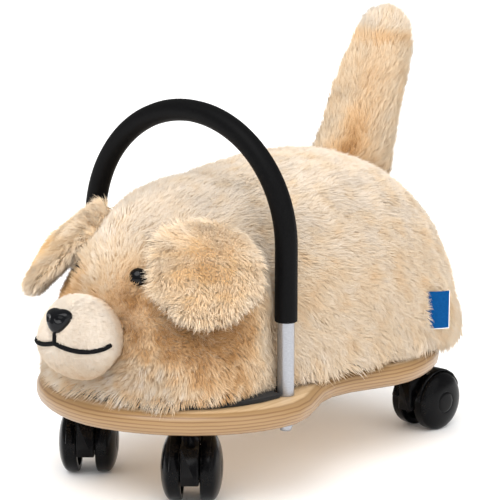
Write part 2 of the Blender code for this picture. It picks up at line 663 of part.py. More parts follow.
def plush_top(y):
    """Height of the back and of the top of the head along the middle."""
    if y <= HEAD_TOP_Y:
        share = (HEAD_TOP_Y - y) / (HEAD_TOP_Y - PLUSH_FRONT_Y)
        return HEAD_FRONT_LEVEL + (HEAD_TOP - HEAD_FRONT_LEVEL) * superellipse(share, 2.0)
    if y <= BODY_TOP_Y:
        return HEAD_TOP + (BODY_TOP - HEAD_TOP) * ease((y - HEAD_TOP_Y) / (BODY_TOP_Y - HEAD_TOP_Y))
    share = (y - BODY_TOP_Y) / (PLUSH_REAR_Y - BODY_TOP_Y)
    return BELLY_LEVEL + (BODY_TOP - BELLY_LEVEL) * superellipse(share, BODY_TOP_REAR_POWER)


def plush_drop(y):
    """How far the round of the belly reaches below the widest line; it closes at both ends."""
    if y < HEAD_WIDEST_Y:
        return BELLY_DROP * superellipse((HEAD_WIDEST_Y - y) / HEAD_FRONT_LENGTH, 4.0)
    if y > BODY_WIDEST_Y:
        return BELLY_DROP * superellipse((y - BODY_WIDEST_Y) / BODY_REAR_LENGTH, 4.0)
    return BELLY_DROP


def plush_section(y):
    """One ring of the plush around its length, flat where it would pass the pad."""
    width = plush_half_width(y) * CAGE_FULLNESS_SHARE
    belly = plush_belly(y)
    rise = (plush_top(y) - belly) * CAGE_FULLNESS_SHARE
    drop = plush_drop(y)
    power = FACE_ROUNDNESS + (BODY_ROUNDNESS - FACE_ROUNDNESS) * ease((y - FACE_Y) / (0 - FACE_Y))
    ring = []
    for step in range(BODY_SIDES):
        angle = -pi / 2 + 2 * pi * step / BODY_SIDES
        across = cos(angle)
        up = sin(angle)
        bend = power if up > 0 else BELLY_ROUNDNESS
        x = width * abs(across) ** (2 / bend) * (1 if across > 0 else -1)
        z = belly + (rise if up > 0 else drop) * abs(up) ** (2 / bend) * (1 if up > 0 else -1)
        ring.append(Vector((x, y, max(z, PLUSH_BOTTOM))))
    return ring


def loft(name, rings, first, last):
    """A closed coarse cage through rings of equal count, ended by the two given points."""
    shape = bmesh.new()
    loops = [[shape.verts.new(place) for place in ring] for ring in rings]
    count = len(loops[0])
    for near, far in zip(loops, loops[1:]):
        for index in range(count):
            follow = (index + 1) % count
            shape.faces.new((near[index], near[follow], far[follow], far[index]))
    start = shape.verts.new(first)
    end = shape.verts.new(last)
    for index in range(count):
        follow = (index + 1) % count
        shape.faces.new((start, loops[0][follow], loops[0][index]))
        shape.faces.new((end, loops[-1][index], loops[-1][follow]))
    bmesh.ops.recalc_face_normals(shape, faces=shape.faces)
    return softened(from_bmesh(name, shape))


def softened(item):
    """One level of subdivision turns a coarse cage into a stuffed form."""
    smooth = item.modifiers.new("soften", "SUBSURF")
    smooth.levels = 1
    smooth.render_levels = 1
    return item


def ball(name, across, around, reshape):
    """A soft form from a sphere primitive whose points are moved by a function."""
    shape = bmesh.new()
    bmesh.ops.create_uvsphere(shape, u_segments=across, v_segments=around, radius=1.0)
    for vertex in shape.verts:
        vertex.co = reshape(vertex.co.copy())
    bmesh.ops.recalc_face_normals(shape, faces=shape.faces)
    return softened(from_bmesh(name, shape))


def grown(name, mesh, amount):
    """A cutter that is the given form, larger by an even amount."""
    item = helper(bpy.data.objects.new(name, mesh.copy()))
    swell = item.modifiers.new("grow", "DISPLACE")
    swell.strength = amount
    swell.mid_level = 0.0
    swell.direction = "NORMAL"
    return item


def half_space(name, y, side):
    """A block that removes everything ahead of a plane across the toy (side -1) or behind it (side 1)."""
    far = y + side * (PLUSH_REAR_Y - PLUSH_FRONT_Y)
    wide = BODY_HALF_WIDTH + OVERRUN
    return block(name, (-wide, min(y, far), 0), (wide, max(y, far), BODY_TOP + OVERRUN))


def make_plush(toy):
    pad_side = [(max(0.0, x - PAD_INSET), y) for x, y in side_points()]
    front = FRONT_LOBE_Y - FRONT_LOBE_LENGTH + PAD_FRONT_INSET
    rear = REAR_LOBE_Y + REAR_LOBE_LENGTH - PAD_FRONT_INSET
    pad_side = [(x, y) for x, y in pad_side if x > 0 and front < y < rear]
    pad_side = [(0, front)] + pad_side + [(0, rear)]
    pad = flat_outline("pad", pad_side, PAD_BOTTOM, PAD_THICKNESS, PAD_THICKNESS / 4, 0)
    notches = [rod("leg_notch", HANDLE_RADIUS + PAD_THICKNESS, PAD_BOTTOM - OVERRUN, PAD_TOP + OVERRUN,
                   place=(side * HANDLE_HALF_WIDTH, 0, 0)) for side in (1, -1)]
    piece("base_pad", made(pad, removed=notches), BLACK_CLOTH, toy)

    head_length = HEAD_END_Y - PLUSH_FRONT_Y
    head_rings = [plush_section(PLUSH_FRONT_Y + share ** 1.5 * head_length) for share in HEAD_STATION_SHARES]
    face_tip = (0, PLUSH_FRONT_Y, HEAD_FRONT_LEVEL)
    head_form = loft("head_form", head_rings, face_tip, (0, HEAD_END_Y, BELLY_LEVEL))
    head = made(head_form, removed=[half_space("behind_neck", NECK_Y - GAP / 2, 1)])
    body_length = PLUSH_REAR_Y - BODY_START_Y
    body_rings = [plush_section(BODY_START_Y + share * body_length) for share in BODY_STATION_SHARES]
    body_form = loft("body_form", body_rings, (0, BODY_START_Y, BELLY_LEVEL), (0, PLUSH_REAR_Y, BELLY_LEVEL))
    body = made(body_form, removed=[half_space("ahead_of_neck", NECK_Y + GAP / 2, -1), handle_room()])
    return head, body


def surface_of(mesh):
    """A search tree of a finished form, for setting pieces on its surface."""
    shape = bmesh.new()
    shape.from_mesh(mesh)
    tree = BVHTree.FromBMesh(shape)
    shape.free()
    return tree


def seat_on(tree, start, direction):
    """Where a straight line meets a form, and which way the form faces there."""
    place, normal, index, distance = tree.ray_cast(Vector(start), Vector(direction))
    return place, normal


def facing(place, normal):
    """The frame of a piece that stands on a surface, its +Z along the surface's normal."""
    return Matrix.Translation(place) @ normal.to_track_quat("Z", "Y").to_matrix().to_4x4()


def make_tail(body):
    base = Vector((0, TAIL_BASE_Y, TAIL_BASE_Z))
    tip = Vector((0, TAIL_TIP_Y, TAIL_TIP_Z))
    along = (tip - base).normalized()
    across = Vector((1, 0, 0))
    back = along.cross(across)
    rings = []
    for share, width in TAIL_STATION_SHARES:
        middle = base.lerp(tip, share)
        radius = TAIL_RADIUS * width * CAGE_FULLNESS_SHARE
        rings.append([middle + across * radius * cos(2 * pi * step / TAIL_SIDES)
                      + back * radius * sin(2 * pi * step / TAIL_SIDES) for step in range(TAIL_SIDES)])
    form = loft("tail_form", rings, base - along * TAIL_RADIUS / 2, tip)
    return made(form, removed=[grown("body_cut", body, GAP)])


def make_ear(head, body, side):
    def reshape(unit):
        """Narrower at the root, cupped like a shallow dish, its tip bent down."""
        across = EAR_HALF_WIDTH * unit.x * (1 - EAR_ROOT_SHARE * max(0.0, unit.z) ** 2)
        cup = EAR_CUP * (unit.x ** 2 + unit.z ** 2)
        droop = EAR_DROOP * min(0.0, unit.z) ** 2
        inward = EAR_HALF_THICKNESS * unit.y + cup + droop
        return Vector((across, inward, EAR_HALF_LENGTH * unit.z)) * CAGE_FULLNESS_SHARE

    form = ball("ear_form", EAR_ACROSS, EAR_AROUND, reshape)
    inward = -Vector(EAR_FACING_SHARES).normalized()
    up = -Vector(EAR_HANG_SHARES)
    up = (up - inward * up.dot(inward)).normalized()
    across = inward.cross(up)
    turn = Matrix((across, inward, up)).transposed().to_4x4()
    form.data.transform(Matrix.Translation((EAR_X, EAR_Y, EAR_Z)) @ turn)
    if side < 0:
        form.data.transform(Matrix.Scale(-1, 4, (1, 0, 0)))
        form.data.flip_normals()
    return made(form, removed=[grown("head_cut", head, GAP), grown("body_cut", body, GAP), handle_room()])


def make_face(toy, head):
    """The muzzle sewn on the head, with its moulded nose, corded mouth and the two sunk safety eyes."""
    middle = Vector((0, MUZZLE_Y, MUZZLE_Z))
    half = Vector((MUZZLE_HALF_WIDTH, MUZZLE_DEPTH, MUZZLE_HALF_HEIGHT)) * CAGE_FULLNESS_SHARE
    form = ball("muzzle_form", 14, 7, lambda unit: middle + unit * half)
    muzzle = made(form, removed=[grown("head_cut", head, GAP)])
    tree = surface_of(muzzle)
    ahead = PLUSH_FRONT_Y - MUZZLE_DEPTH * 2

    seat, normal = seat_on(tree, (0, ahead, NOSE_Z), (0, 1, 0))

    def nose_shape(unit):
        """Wide and squared above, drawn to a blunt point below; it looks along +Z."""
        taper = 1.0 - NOSE_TAPER_SHARE * (0.5 - unit.y / 2)
        square = 1.0 + NOSE_FULLNESS_SHARE * max(0.0, unit.y) * abs(unit.x)
        across = NOSE_HALF_WIDTH * unit.x * taper * square
        return Vector((across, NOSE_HALF_HEIGHT * unit.y, NOSE_PROUD * unit.z))

    nose = ball("nose_form", 12, 6, nose_shape)
    upright = Vector((0, 0, 1))
    across = upright.cross(normal).normalized()
    lean = Matrix((across, normal.cross(across), normal)).transposed().to_4x4()
    nose.data.transform(Matrix.Translation(seat) @ lean)
    piece("nose", made(nose, removed=[grown("muzzle_cut", muzzle, GAP)]), GLOSS_BLACK, toy)

    off = MOUTH_CORD_RADIUS + GAP
    line = []
    for step in range(MOUTH_STEPS + 1):
        share = 2 * step / MOUTH_STEPS - 1
        dip = sin(pi / 2 * abs(share) / MOUTH_LOWEST_SHARE)
        height = MOUTH_Z - MOUTH_SAG * dip + MOUTH_LIFT * share ** 4
        way = Vector((sin(MOUTH_TURN * share), -cos(MOUTH_TURN * share), 0))
        place, normal = seat_on(tree, Vector((0, MUZZLE_Y, height)) + way * MUZZLE_HALF_WIDTH * 2, -way)
        line.append(place + normal * off)
    cord = made(tube("mouth", line, MOUTH_CORD_RADIUS, 1), removed=[grown("muzzle_cut", muzzle, GAP)])
    piece("mouth_cord", cord, BLACK_CLOTH, toy)
    top = NOSE_Z - NOSE_HALF_HEIGHT - MOUTH_CORD_RADIUS
    bottom = MOUTH_Z + MOUTH_CORD_RADIUS * 2 + GAP
    line = []
    for height in (top, (top + bottom) / 2, bottom):
        place, normal = seat_on(tree, (0, ahead, height), (0, 1, 0))
        line.append(place + normal * off)
    cord = made(tube("philtrum", line, MOUTH_CORD_RADIUS, 1), removed=[grown("muzzle_cut", muzzle, GAP)])
    piece("philtrum_cord", cord, BLACK_CLOTH, toy)
    piece("muzzle", muzzle, MUZZLE_PILE, toy)

    tree = surface_of(head)
    dome = [(0, EYE_PROUD + GAP)]
    for step in (1, 2):
        angle = pi / 2 * (1 - step / 3)
        dome.append((EYE_RADIUS * cos(angle), EYE_PROUD * sin(angle) + GAP))
    dome += [(EYE_RADIUS, GAP), (EYE_SHANK_RADIUS, GAP), (EYE_SHANK_RADIUS, -EYE_SHANK), (0, -EYE_SHANK)]
    bores = []
    for name, side in (("left", 1), ("right", -1)):
        skin, normal = seat_on(tree, (side * EYE_X, ahead, EYE_Z), (0, 1, 0))
        seat = facing(skin - normal * EYE_SINK, normal)
        eye = solid_mesh(turned("eye", dome))
        eye.transform(seat)
        piece("eye_" + name, eye, GLOSS_BLACK, toy)
        socket = rod("eye_socket", EYE_RADIUS + GAP, 0, EYE_SINK + OVERRUN)
        bore = rod("eye_bore", EYE_SHANK_RADIUS + GAP, -EYE_SHANK - GAP, EYE_SINK)
        for cut in (socket, bore):
            cut.data.transform(seat)
            bores.append(cut)
    blank = helper(bpy.data.objects.new("head_blank", head.copy()))
    piece("plush_head", made(blank, removed=bores), PLUSH, toy)


def make_label(toy, body):
    """The plain tab sewn in the left rear seam."""
    place, normal = seat_on(surface_of(body), (BODY_HALF_WIDTH * 2, LABEL_Y, LABEL_Z), (-1, 0, 0))
    level = Vector((normal.x, normal.y, 0)).normalized()
    tab = block("tab", (-LABEL_WIDTH / 2, -LABEL_THICKNESS / 2, -LABEL_HEIGHT / 2),
                (LABEL_WIDTH / 2, LABEL_THICKNESS / 2, LABEL_HEIGHT / 2))
    lean = Matrix.Rotation(asin(normal.z), 4, "X")
    turn = Matrix.Rotation(atan2(level.y, level.x) - pi / 2, 4, "Z")
    tab.data.transform(Matrix.Translation(place + normal * LABEL_THICKNESS) @ turn @ lean)
    piece("label_tab", made(tab, removed=[grown("body_cut", body, GAP)]), BLUE_TAPE, toy)


def main():
    toy = empty("toy", (0, -TOY_MIDDLE_Y, 0))
    make_board(toy)
    make_handle(toy)
    make_castors(toy)
    head, body = make_plush(toy)
    make_face(toy, head)
    piece("ear_left", make_ear(head, body, 1), PLUSH, toy)
    piece("ear_right", make_ear(head, body, -1), PLUSH, toy)
    piece("tail", make_tail(body), PLUSH, toy)
    make_label(toy, body)
    piece("plush_body", body, PLUSH, toy)


main()
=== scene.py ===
# %% [markdown]
# # A plush ride on dog
# The toy is a long-haired plush dog stapled to a waisted plywood board. A bent steel handle with a
# black foam grip runs through the board, and four twin-wheel castors carry it. The solids of the
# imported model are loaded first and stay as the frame. Each cell below then makes one piece or one
# finish, and says what it is on the real toy and why it was made this way.

# %% Load the solids
import json
import math

import bmesh
import bpy
import numpy as np
from mathutils import Matrix, Vector
from mathutils.bvhtree import BVHTree
from mathutils.kdtree import KDTree

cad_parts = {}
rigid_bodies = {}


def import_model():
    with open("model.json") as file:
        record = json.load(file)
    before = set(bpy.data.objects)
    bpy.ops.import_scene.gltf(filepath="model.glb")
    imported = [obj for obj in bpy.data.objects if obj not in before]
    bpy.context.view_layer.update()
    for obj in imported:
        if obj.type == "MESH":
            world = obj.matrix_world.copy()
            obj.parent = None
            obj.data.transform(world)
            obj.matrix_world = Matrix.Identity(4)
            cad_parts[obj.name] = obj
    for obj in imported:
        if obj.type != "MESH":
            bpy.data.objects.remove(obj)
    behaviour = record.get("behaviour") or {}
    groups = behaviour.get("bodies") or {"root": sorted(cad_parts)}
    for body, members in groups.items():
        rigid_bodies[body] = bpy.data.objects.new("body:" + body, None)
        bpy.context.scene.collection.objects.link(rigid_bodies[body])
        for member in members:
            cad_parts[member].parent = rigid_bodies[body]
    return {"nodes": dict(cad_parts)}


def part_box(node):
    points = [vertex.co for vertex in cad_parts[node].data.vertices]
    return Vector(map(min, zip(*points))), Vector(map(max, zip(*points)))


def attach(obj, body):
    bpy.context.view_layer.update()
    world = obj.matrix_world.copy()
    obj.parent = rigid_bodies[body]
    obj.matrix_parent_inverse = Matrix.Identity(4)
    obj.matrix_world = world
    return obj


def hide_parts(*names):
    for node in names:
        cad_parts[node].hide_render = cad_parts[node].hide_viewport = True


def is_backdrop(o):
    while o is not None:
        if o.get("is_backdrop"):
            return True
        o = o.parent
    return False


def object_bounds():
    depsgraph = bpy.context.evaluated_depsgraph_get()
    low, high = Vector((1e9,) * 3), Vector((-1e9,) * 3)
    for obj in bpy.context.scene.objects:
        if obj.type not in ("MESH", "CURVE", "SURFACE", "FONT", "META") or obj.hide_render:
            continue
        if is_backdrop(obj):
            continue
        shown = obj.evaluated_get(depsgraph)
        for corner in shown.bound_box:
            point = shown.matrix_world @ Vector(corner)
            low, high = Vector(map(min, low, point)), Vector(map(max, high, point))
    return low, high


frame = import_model()
nodes = frame["nodes"]
cad_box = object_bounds()
print("the solids measure", [round(high - low, 4) for low, high in zip(*cad_box)])

# %% [markdown]
# ## Materials
# Each finish is a small node tree that ends in one Principled shader. One helper makes the tree
# and sets the plain numbers on the shader's own sockets. The others each add one step, such as a
# noise, a sum or a ramp of colours, and hand back its output.


# %% Material helpers
def set_all(owner, **settings):
    """Sets several properties of one thing."""
    for label, value in settings.items():
        setattr(owner, label, value)


def feed(socket, value):
    """Fills a socket: another node's output is linked to it, and a plain value is set on it."""
    if isinstance(value, bpy.types.NodeSocket):
        socket.id_data.links.new(value, socket)
    else:
        socket.default_value = value


def fill(node, **settings):
    """Settings that name a socket of the node fill it, and the others are its properties."""
    for label, value in settings.items():
        if label in node.bl_rna.properties:
            setattr(node, label, value)
        else:
            feed(node.inputs[label.replace("_", " ")], value)
    return node


def add_node(tree, kind, **settings):
    return fill(tree.nodes.new(kind), **settings)


def new_material(name, **settings):
    """A Principled material, with its tree and its shader to build on."""
    look = bpy.data.materials.new(name)
    look.use_nodes = True
    return look, look.node_tree, fill(look.node_tree.nodes["Principled BSDF"], **settings)


def maths(tree, operation, *values):
    """A sum on numbers and on outputs of other nodes."""
    node = add_node(tree, "ShaderNodeMath", operation=operation)
    for socket, value in zip(node.inputs, values):
        feed(socket, value)
    return node.outputs["Value"]


def remapped(tree, value, low, high, to_low=0.0, to_high=1.0):
    """Turns low to high into to_low to to_high, and goes no further at either end."""
    return add_node(tree, "ShaderNodeMapRange", Value=value, From_Min=low, From_Max=high,
                    To_Min=to_low, To_Max=to_high).outputs["Result"]


def axes_of(tree, vector):
    """The X, Y and Z of a vector."""
    return add_node(tree, "ShaderNodeSeparateXYZ", Vector=vector).outputs


def blended(tree, share, first, second):
    """The first colour where share is 0 and the second where it is 1."""
    node = add_node(tree, "ShaderNodeMix", data_type="RGBA")
    for place, value in ((0, share), (6, first), (7, second)):
        feed(node.inputs[place], value)
    return node.outputs[2]


def noise_on(tree, scale, detail, roughness=0.5):
    """Noise on the object's own coordinates, as fine along each axis as scale says."""
    place = add_node(tree, "ShaderNodeTexCoord").outputs["Object"]
    mapped = add_node(tree, "ShaderNodeMapping", Vector=place, Scale=scale).outputs["Vector"]
    return add_node(tree, "ShaderNodeTexNoise", Vector=mapped, Scale=1.0, Detail=detail,
                    Roughness=roughness).outputs["Fac"]


def ramp(tree, source, stops):
    """Turns a number into a colour through a colour ramp of (place, colour) stops."""
    node = add_node(tree, "ShaderNodeValToRGB", Fac=source)
    points = node.color_ramp.elements
    while len(points) < len(stops):
        points.new(0.5)
    for point, (place, colour) in zip(points, stops):
        point.position = place
        point.color = (*colour, 1.0)
    return node.outputs["Color"]


def add_bump(tree, shader, height, depth, strength=1.0):
    """Raises the surface where height is high, by depth metres at most."""
    bump = add_node(tree, "ShaderNodeBump", Height=height, Strength=strength, Distance=depth)
    fill(shader, Normal=bump.outputs["Normal"])


def dress(item, look):
    """Gives the whole piece one material."""
    item.data.materials.clear()
    item.data.materials.append(look)


# %% [markdown]
# ## Camera, floor and light
# The camera was found from the photograph: it looks down by about ten degrees from the dog's front
# left, through a long lens. The floor is a large white plane, so that no horizon shows. The light
# is a bright even sky and two wide soft suns, the way a product is lit on a white sweep. A studio
# is dark behind its lamps, so what shines sees a dimmer sky, and the black parts stay black.

# %% Camera, floor and light
CAMERA_PLACE = (0.790186, -0.958209, 0.395778)
CAMERA_BACK = (0.62287, -0.76115, 0.18076)
CAMERA_LENS = 112.96
SKY_COLOUR = (1.0, 0.985, 0.965, 1.0)
SKY_STRENGTH = 1.18
SKY_GLOSS_SHARE = 0.30
FLOOR_SIZE = 80.0
FLOOR_COLOUR = (0.97, 0.975, 0.985, 1.0)

scene = bpy.context.scene
scene.view_settings.view_transform = "Standard"


def select_only(item):
    bpy.ops.object.select_all(action="DESELECT")
    item.select_set(True)
    bpy.context.view_layer.objects.active = item


def placed(name, data):
    """A new object in the scene, and the only one selected."""
    item = bpy.data.objects.new(name, data)
    scene.collection.objects.link(item)
    select_only(item)
    return item


def new_primitive(name, operator, **settings):
    """Adds a primitive to the scene under its own name."""
    bpy.ops.object.select_all(action="DESELECT")
    operator(**settings)
    item = bpy.context.active_object
    item.name = item.data.name = name
    select_only(item)
    return item


def aim(item, way, axis):
    """Turns an object so that this axis of its own points along way."""
    set_all(item, rotation_mode="QUATERNION",
            rotation_quaternion=Vector(way).to_track_quat(axis, "Y"))


def sun(name, strength, spread, toward):
    """A soft distant lamp that shines the way toward points."""
    lamp = bpy.data.lights.new(name, "SUN")
    set_all(lamp, energy=strength, angle=math.radians(spread))
    aim(placed(name, lamp), toward, "-Z")


camera_data = bpy.data.cameras.new("camera")
set_all(camera_data, lens=CAMERA_LENS, sensor_width=36.0, clip_start=0.05, clip_end=100.0)
scene.camera = placed("camera", camera_data)
scene.camera.location = CAMERA_PLACE
aim(scene.camera, CAMERA_BACK, "Z")

sky = bpy.data.worlds.new("studio")
sky.use_nodes = True
glossy = add_node(sky.node_tree, "ShaderNodeLightPath").outputs["Is Glossy Ray"]
strength = remapped(sky.node_tree, glossy, 0.0, 1.0, SKY_STRENGTH, SKY_STRENGTH * SKY_GLOSS_SHARE)
fill(sky.node_tree.nodes["Background"], Color=SKY_COLOUR, Strength=strength)
scene.world = sky

sun("key_light", 1.60, 45.0, (-0.15, 0.55, -0.85))
sun("fill_light", 0.60, 60.0, (-0.85, 0.10, -0.45))
floor = new_primitive("floor", bpy.ops.mesh.primitive_plane_add, size=FLOOR_SIZE,
                      location=(0, 0, 0))
dress(floor, new_material("studio_floor", Base_Color=FLOOR_COLOUR, Roughness=0.9)[0])
floor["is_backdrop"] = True
print("camera at", CAMERA_PLACE, "lens", CAMERA_LENS)

# %% [markdown]
# ## Plywood
# The board is birch plywood with a clear lacquer. Its flat faces are pale with a fine long grain,
# and its rounded edge cuts through the plies, so it shows many fine darker lines and streaks. The
# lines depend on height alone, and a little noise makes them wander. The grain is noise that is
# drawn out along the board, and the streaks are noise that is drawn out level.

# %% Plywood
PLY_LIGHTEST = (0.33, 0.198, 0.085)
PLY_LIGHT = (0.305, 0.180, 0.074)
PLY_MIDDLE = (0.277, 0.155, 0.061)
PLY_DARK = (0.225, 0.118, 0.045)
PLY_COUNT = 13
PLY_WANDER = 1.1
PLY_STREAKS = 1.6
BOARD_BOTTOM = 0.0625
BOARD_TOP = 0.0795

plywood, tree, shader = new_material(
    "birch_plywood_lacquered", Roughness=0.38, Coat_Weight=0.25, Coat_Roughness=0.25
)
height = axes_of(tree, add_node(tree, "ShaderNodeTexCoord").outputs["Object"])["Z"]
level = remapped(tree, height, BOARD_BOTTOM, BOARD_TOP, 0.0, PLY_COUNT)
drift = maths(tree, "MULTIPLY_ADD", noise_on(tree, (14.0, 14.0, 60.0), 3.0), PLY_WANDER, level)
band = maths(tree, "SINE", maths(tree, "MULTIPLY", drift, math.pi))
streak = noise_on(tree, (22.0, 22.0, 700.0), 4.0, 0.6)
edge_colour = ramp(tree, maths(tree, "MULTIPLY_ADD", streak, PLY_STREAKS, band), [
    (0.0, PLY_DARK), (0.15, PLY_MIDDLE), (0.50, PLY_LIGHT), (1.0, PLY_LIGHTEST)])
grain = noise_on(tree, (260.0, 9.0, 260.0), 5.0, 0.6)
face_colour = ramp(tree, grain, [
    (0.25, (0.52, 0.34, 0.17)), (0.45, (0.62, 0.43, 0.24)), (0.70, (0.69, 0.50, 0.30))])
facing = axes_of(tree, add_node(tree, "ShaderNodeNewGeometry").outputs["Normal"])["Z"]
flat = remapped(tree, maths(tree, "ABSOLUTE", facing), 0.93, 0.99)
fill(shader, Base_Color=blended(tree, flat, edge_colour, face_colour))
add_bump(tree, shader, grain, 0.0002, 0.35)
print("plywood bands:", PLY_COUNT)

# %% [markdown]
# ## Steel, foam and plastic
# The tube is satin steel, brushed round by its polishing. The grip is closed-cell foam, matt black
# with a fine skin. The castors are moulded nylon: black, slightly glossy, and finely textured.
# None of these is one flat colour, since fingers, moulding and brushing each leave a faint
# unevenness, which a noise texture gives to the roughness and the height.


# %% Steel, foam and plastic
def mottled(name, dark, light, grain_scale, depth, roughness, spread, **sockets):
    """A material whose colour, roughness and height all vary a little with one noise."""
    look, tree, shader = new_material(name, **sockets)
    noise = noise_on(tree, grain_scale, 4.0, 0.55)
    fill(shader, Base_Color=ramp(tree, noise, [(0.3, dark), (0.7, light)]),
         Roughness=remapped(tree, noise, 0.3, 0.7, roughness - spread, roughness + spread))
    add_bump(tree, shader, noise, depth, 0.5)
    return look


satin_steel = mottled("satin_steel_tube", (0.34, 0.35, 0.38), (0.46, 0.47, 0.50),
                      (500.0, 500.0, 3000.0), 0.00003, 0.34, 0.05, Metallic=0.85)
foam_grip = mottled("foam_grip_skin", (0.0025, 0.0025, 0.0028), (0.005, 0.005, 0.0055),
                    (900.0, 900.0, 900.0), 0.00008, 0.50, 0.05, Specular_IOR_Level=0.07)
moulded_nylon = mottled("moulded_nylon", (0.0018, 0.0018, 0.0022), (0.0034, 0.0034, 0.0040),
                        (700.0, 700.0, 700.0), 0.00003, 0.22, 0.04, Specular_IOR_Level=0.10)
black_cloth = mottled("black_base_cloth", (0.004, 0.004, 0.004), (0.012, 0.012, 0.013),
                      (1500.0, 1500.0, 1500.0), 0.0003, 0.85, 0.05, Sheen_Weight=0.1)
gloss_plastic = mottled("gloss_black_plastic", (0.002, 0.002, 0.003), (0.004, 0.0045, 0.006),
                        (120.0, 120.0, 120.0), 0.00002, 0.14, 0.04, Specular_IOR_Level=0.24)
stitched_wool = mottled("stitched_black_wool", (0.002, 0.002, 0.002), (0.008, 0.008, 0.009),
                        (1400.0, 1400.0, 1400.0), 0.0004, 0.8, 0.05, Specular_IOR_Level=0.1)

# %% [markdown]
# ## Carried-over pieces with round edges
# The solids have flat facets. A copy of a solid, with its doubled corners merged and its shallow
# edges shaded smooth, reads as one moulded or routed piece, and its hard edges stay hard.

# %% Smooth copies of the solids
SMOOTH_ANGLE = math.radians(32)
MERGE = 0.000005


def merged_copy(name, *sources):
    """One new mesh object from the meshes of these nodes, with doubled corners merged."""
    shape = bmesh.new()
    for source in sources:
        shape.from_mesh(nodes[source].data)
    bmesh.ops.remove_doubles(shape, verts=shape.verts, dist=MERGE)
    mesh = bpy.data.meshes.new(name)
    shape.to_mesh(mesh)
    shape.free()
    return placed(name, mesh)


def body_of(node):
    """The name of the body that carries a node."""
    return nodes[node].parent.name.split(":", 1)[1]


def finished(item, look, slot, body, *stands_for):
    """Dresses a piece, sets it on its body, and puts it in the place of its solids."""
    dress(item, look)
    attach(item, body)
    if stands_for:
        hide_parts(*stands_for)


def smooth_copy(node, look, slot, name=None):
    """Stands a smoothly shaded copy in for a solid."""
    item = merged_copy(name or node + "_finished", node)
    bpy.ops.object.shade_smooth_by_angle(angle=SMOOTH_ANGLE)
    finished(item, look, slot, body_of(node), node)


smooth_copy("board", plywood, "birch_plywood", "plywood_board")
for corner in ("front_left", "front_right", "rear_left", "rear_right"):
    smooth_copy("castor_housing_" + corner, moulded_nylon, "black_plastic", "castor_hood_" + corner)
    smooth_copy("castor_stem_" + corner, satin_steel, "satin_steel")
for part in ("handle_washer_left", "handle_washer_right", "handle_bolt_left", "handle_bolt_right"):
    smooth_copy(part, satin_steel, "satin_steel")
for name, item in nodes.items():
    if name.startswith(("tee_nut", "castor_snap_ring", "castor_axle")):
        dress(item, satin_steel)
    elif name.startswith("handle_plug"):
        dress(item, moulded_nylon)
dress(nodes["base_pad"], black_cloth)

# %% [markdown]
# ## The handle
# One steel tube is bent into an arch, and a foam sleeve is pushed over the bend. A circle swept
# along the centre line gives both: a curve with a round bevel, turned into a mesh. The sleeve's
# ends are cut square with a slightly rounded rim, so at each end the radius grows over one short
# step.

# %% The handle
HANDLE_HALF_WIDTH = 0.0976
HANDLE_PLANE = -0.0700
HANDLE_FOOT = 0.0798
HANDLE_SHOULDER = 0.1903
HANDLE_RISE = 0.0951
TUBE_RADIUS = 0.00635
GRIP_RADIUS = 0.0085
GRIP_HEIGHT = 0.0555
ARCH_STEPS = 72
RIM = 0.0008


def handle_line(start):
    """The centre line from a height above the foot, over the arch, to the same height."""
    low = HANDLE_FOOT + start
    points = [(HANDLE_HALF_WIDTH, HANDLE_PLANE, low)]
    for step in range(ARCH_STEPS + 1):
        angle = math.pi * step / ARCH_STEPS
        points.append((HANDLE_HALF_WIDTH * math.cos(angle), HANDLE_PLANE,
                       HANDLE_SHOULDER + HANDLE_RISE * math.sin(angle)))
    points.append((-HANDLE_HALF_WIDTH, HANDLE_PLANE, low))
    return points


def closed_up(angle):
    """Merges the selected mesh's doubled corners, and turns its faces outward."""
    bpy.ops.object.mode_set(mode="EDIT")
    bpy.ops.mesh.select_all(action="SELECT")
    bpy.ops.mesh.remove_doubles(threshold=MERGE)
    bpy.ops.mesh.normals_make_consistent(inside=False)
    bpy.ops.object.mode_set(mode="OBJECT")
    bpy.ops.object.shade_smooth_by_angle(angle=angle)


def swept(name, points, radius, swell=None, resolution=6):
    """A round bar along a line of points, as a mesh with closed ends."""
    data = bpy.data.curves.new(name, "CURVE")
    set_all(data, dimensions="3D", bevel_depth=radius, bevel_resolution=resolution,
            use_fill_caps=True)
    spline = data.splines.new("POLY")
    spline.points.add(len(points) - 1)
    for index, (point, place) in enumerate(zip(spline.points, points)):
        point.co = (*place, 1)
        point.radius = swell[index] if swell else 1.0
    placed(name, data)
    bpy.ops.object.convert(target="MESH")
    closed_up(SMOOTH_ANGLE)
    return bpy.context.active_object


finished(swept("steel_handle_tube", handle_line(0.0), TUBE_RADIUS), satin_steel, "satin_steel",
         "toy", "handle_tube")
grip_line = handle_line(GRIP_HEIGHT)
first, last = Vector(grip_line[0]), Vector(grip_line[-1])
lift = Vector((0, 0, RIM))
grip_line = [first, first + lift, *grip_line[1:-1], last + lift, last]
swell = [1.0 - RIM / GRIP_RADIUS, *[1.0] * (len(grip_line) - 2), 1.0 - RIM / GRIP_RADIUS]
finished(swept("foam_handle_grip", grip_line, GRIP_RADIUS, swell), foam_grip, "black_grip",
         "toy", "handle_grip")
print("handle points:", len(grip_line))

# %% [markdown]
# ## The castor wheels
# Each wheel is a moulding with a domed outer face, a plain tread and a hollow back with a hub. It
# is a turned shape, so its half section is drawn as a string of points and spun once round its
# axle. The finished wheel is copied eight times, each copy with its own mesh, and set on its axle.

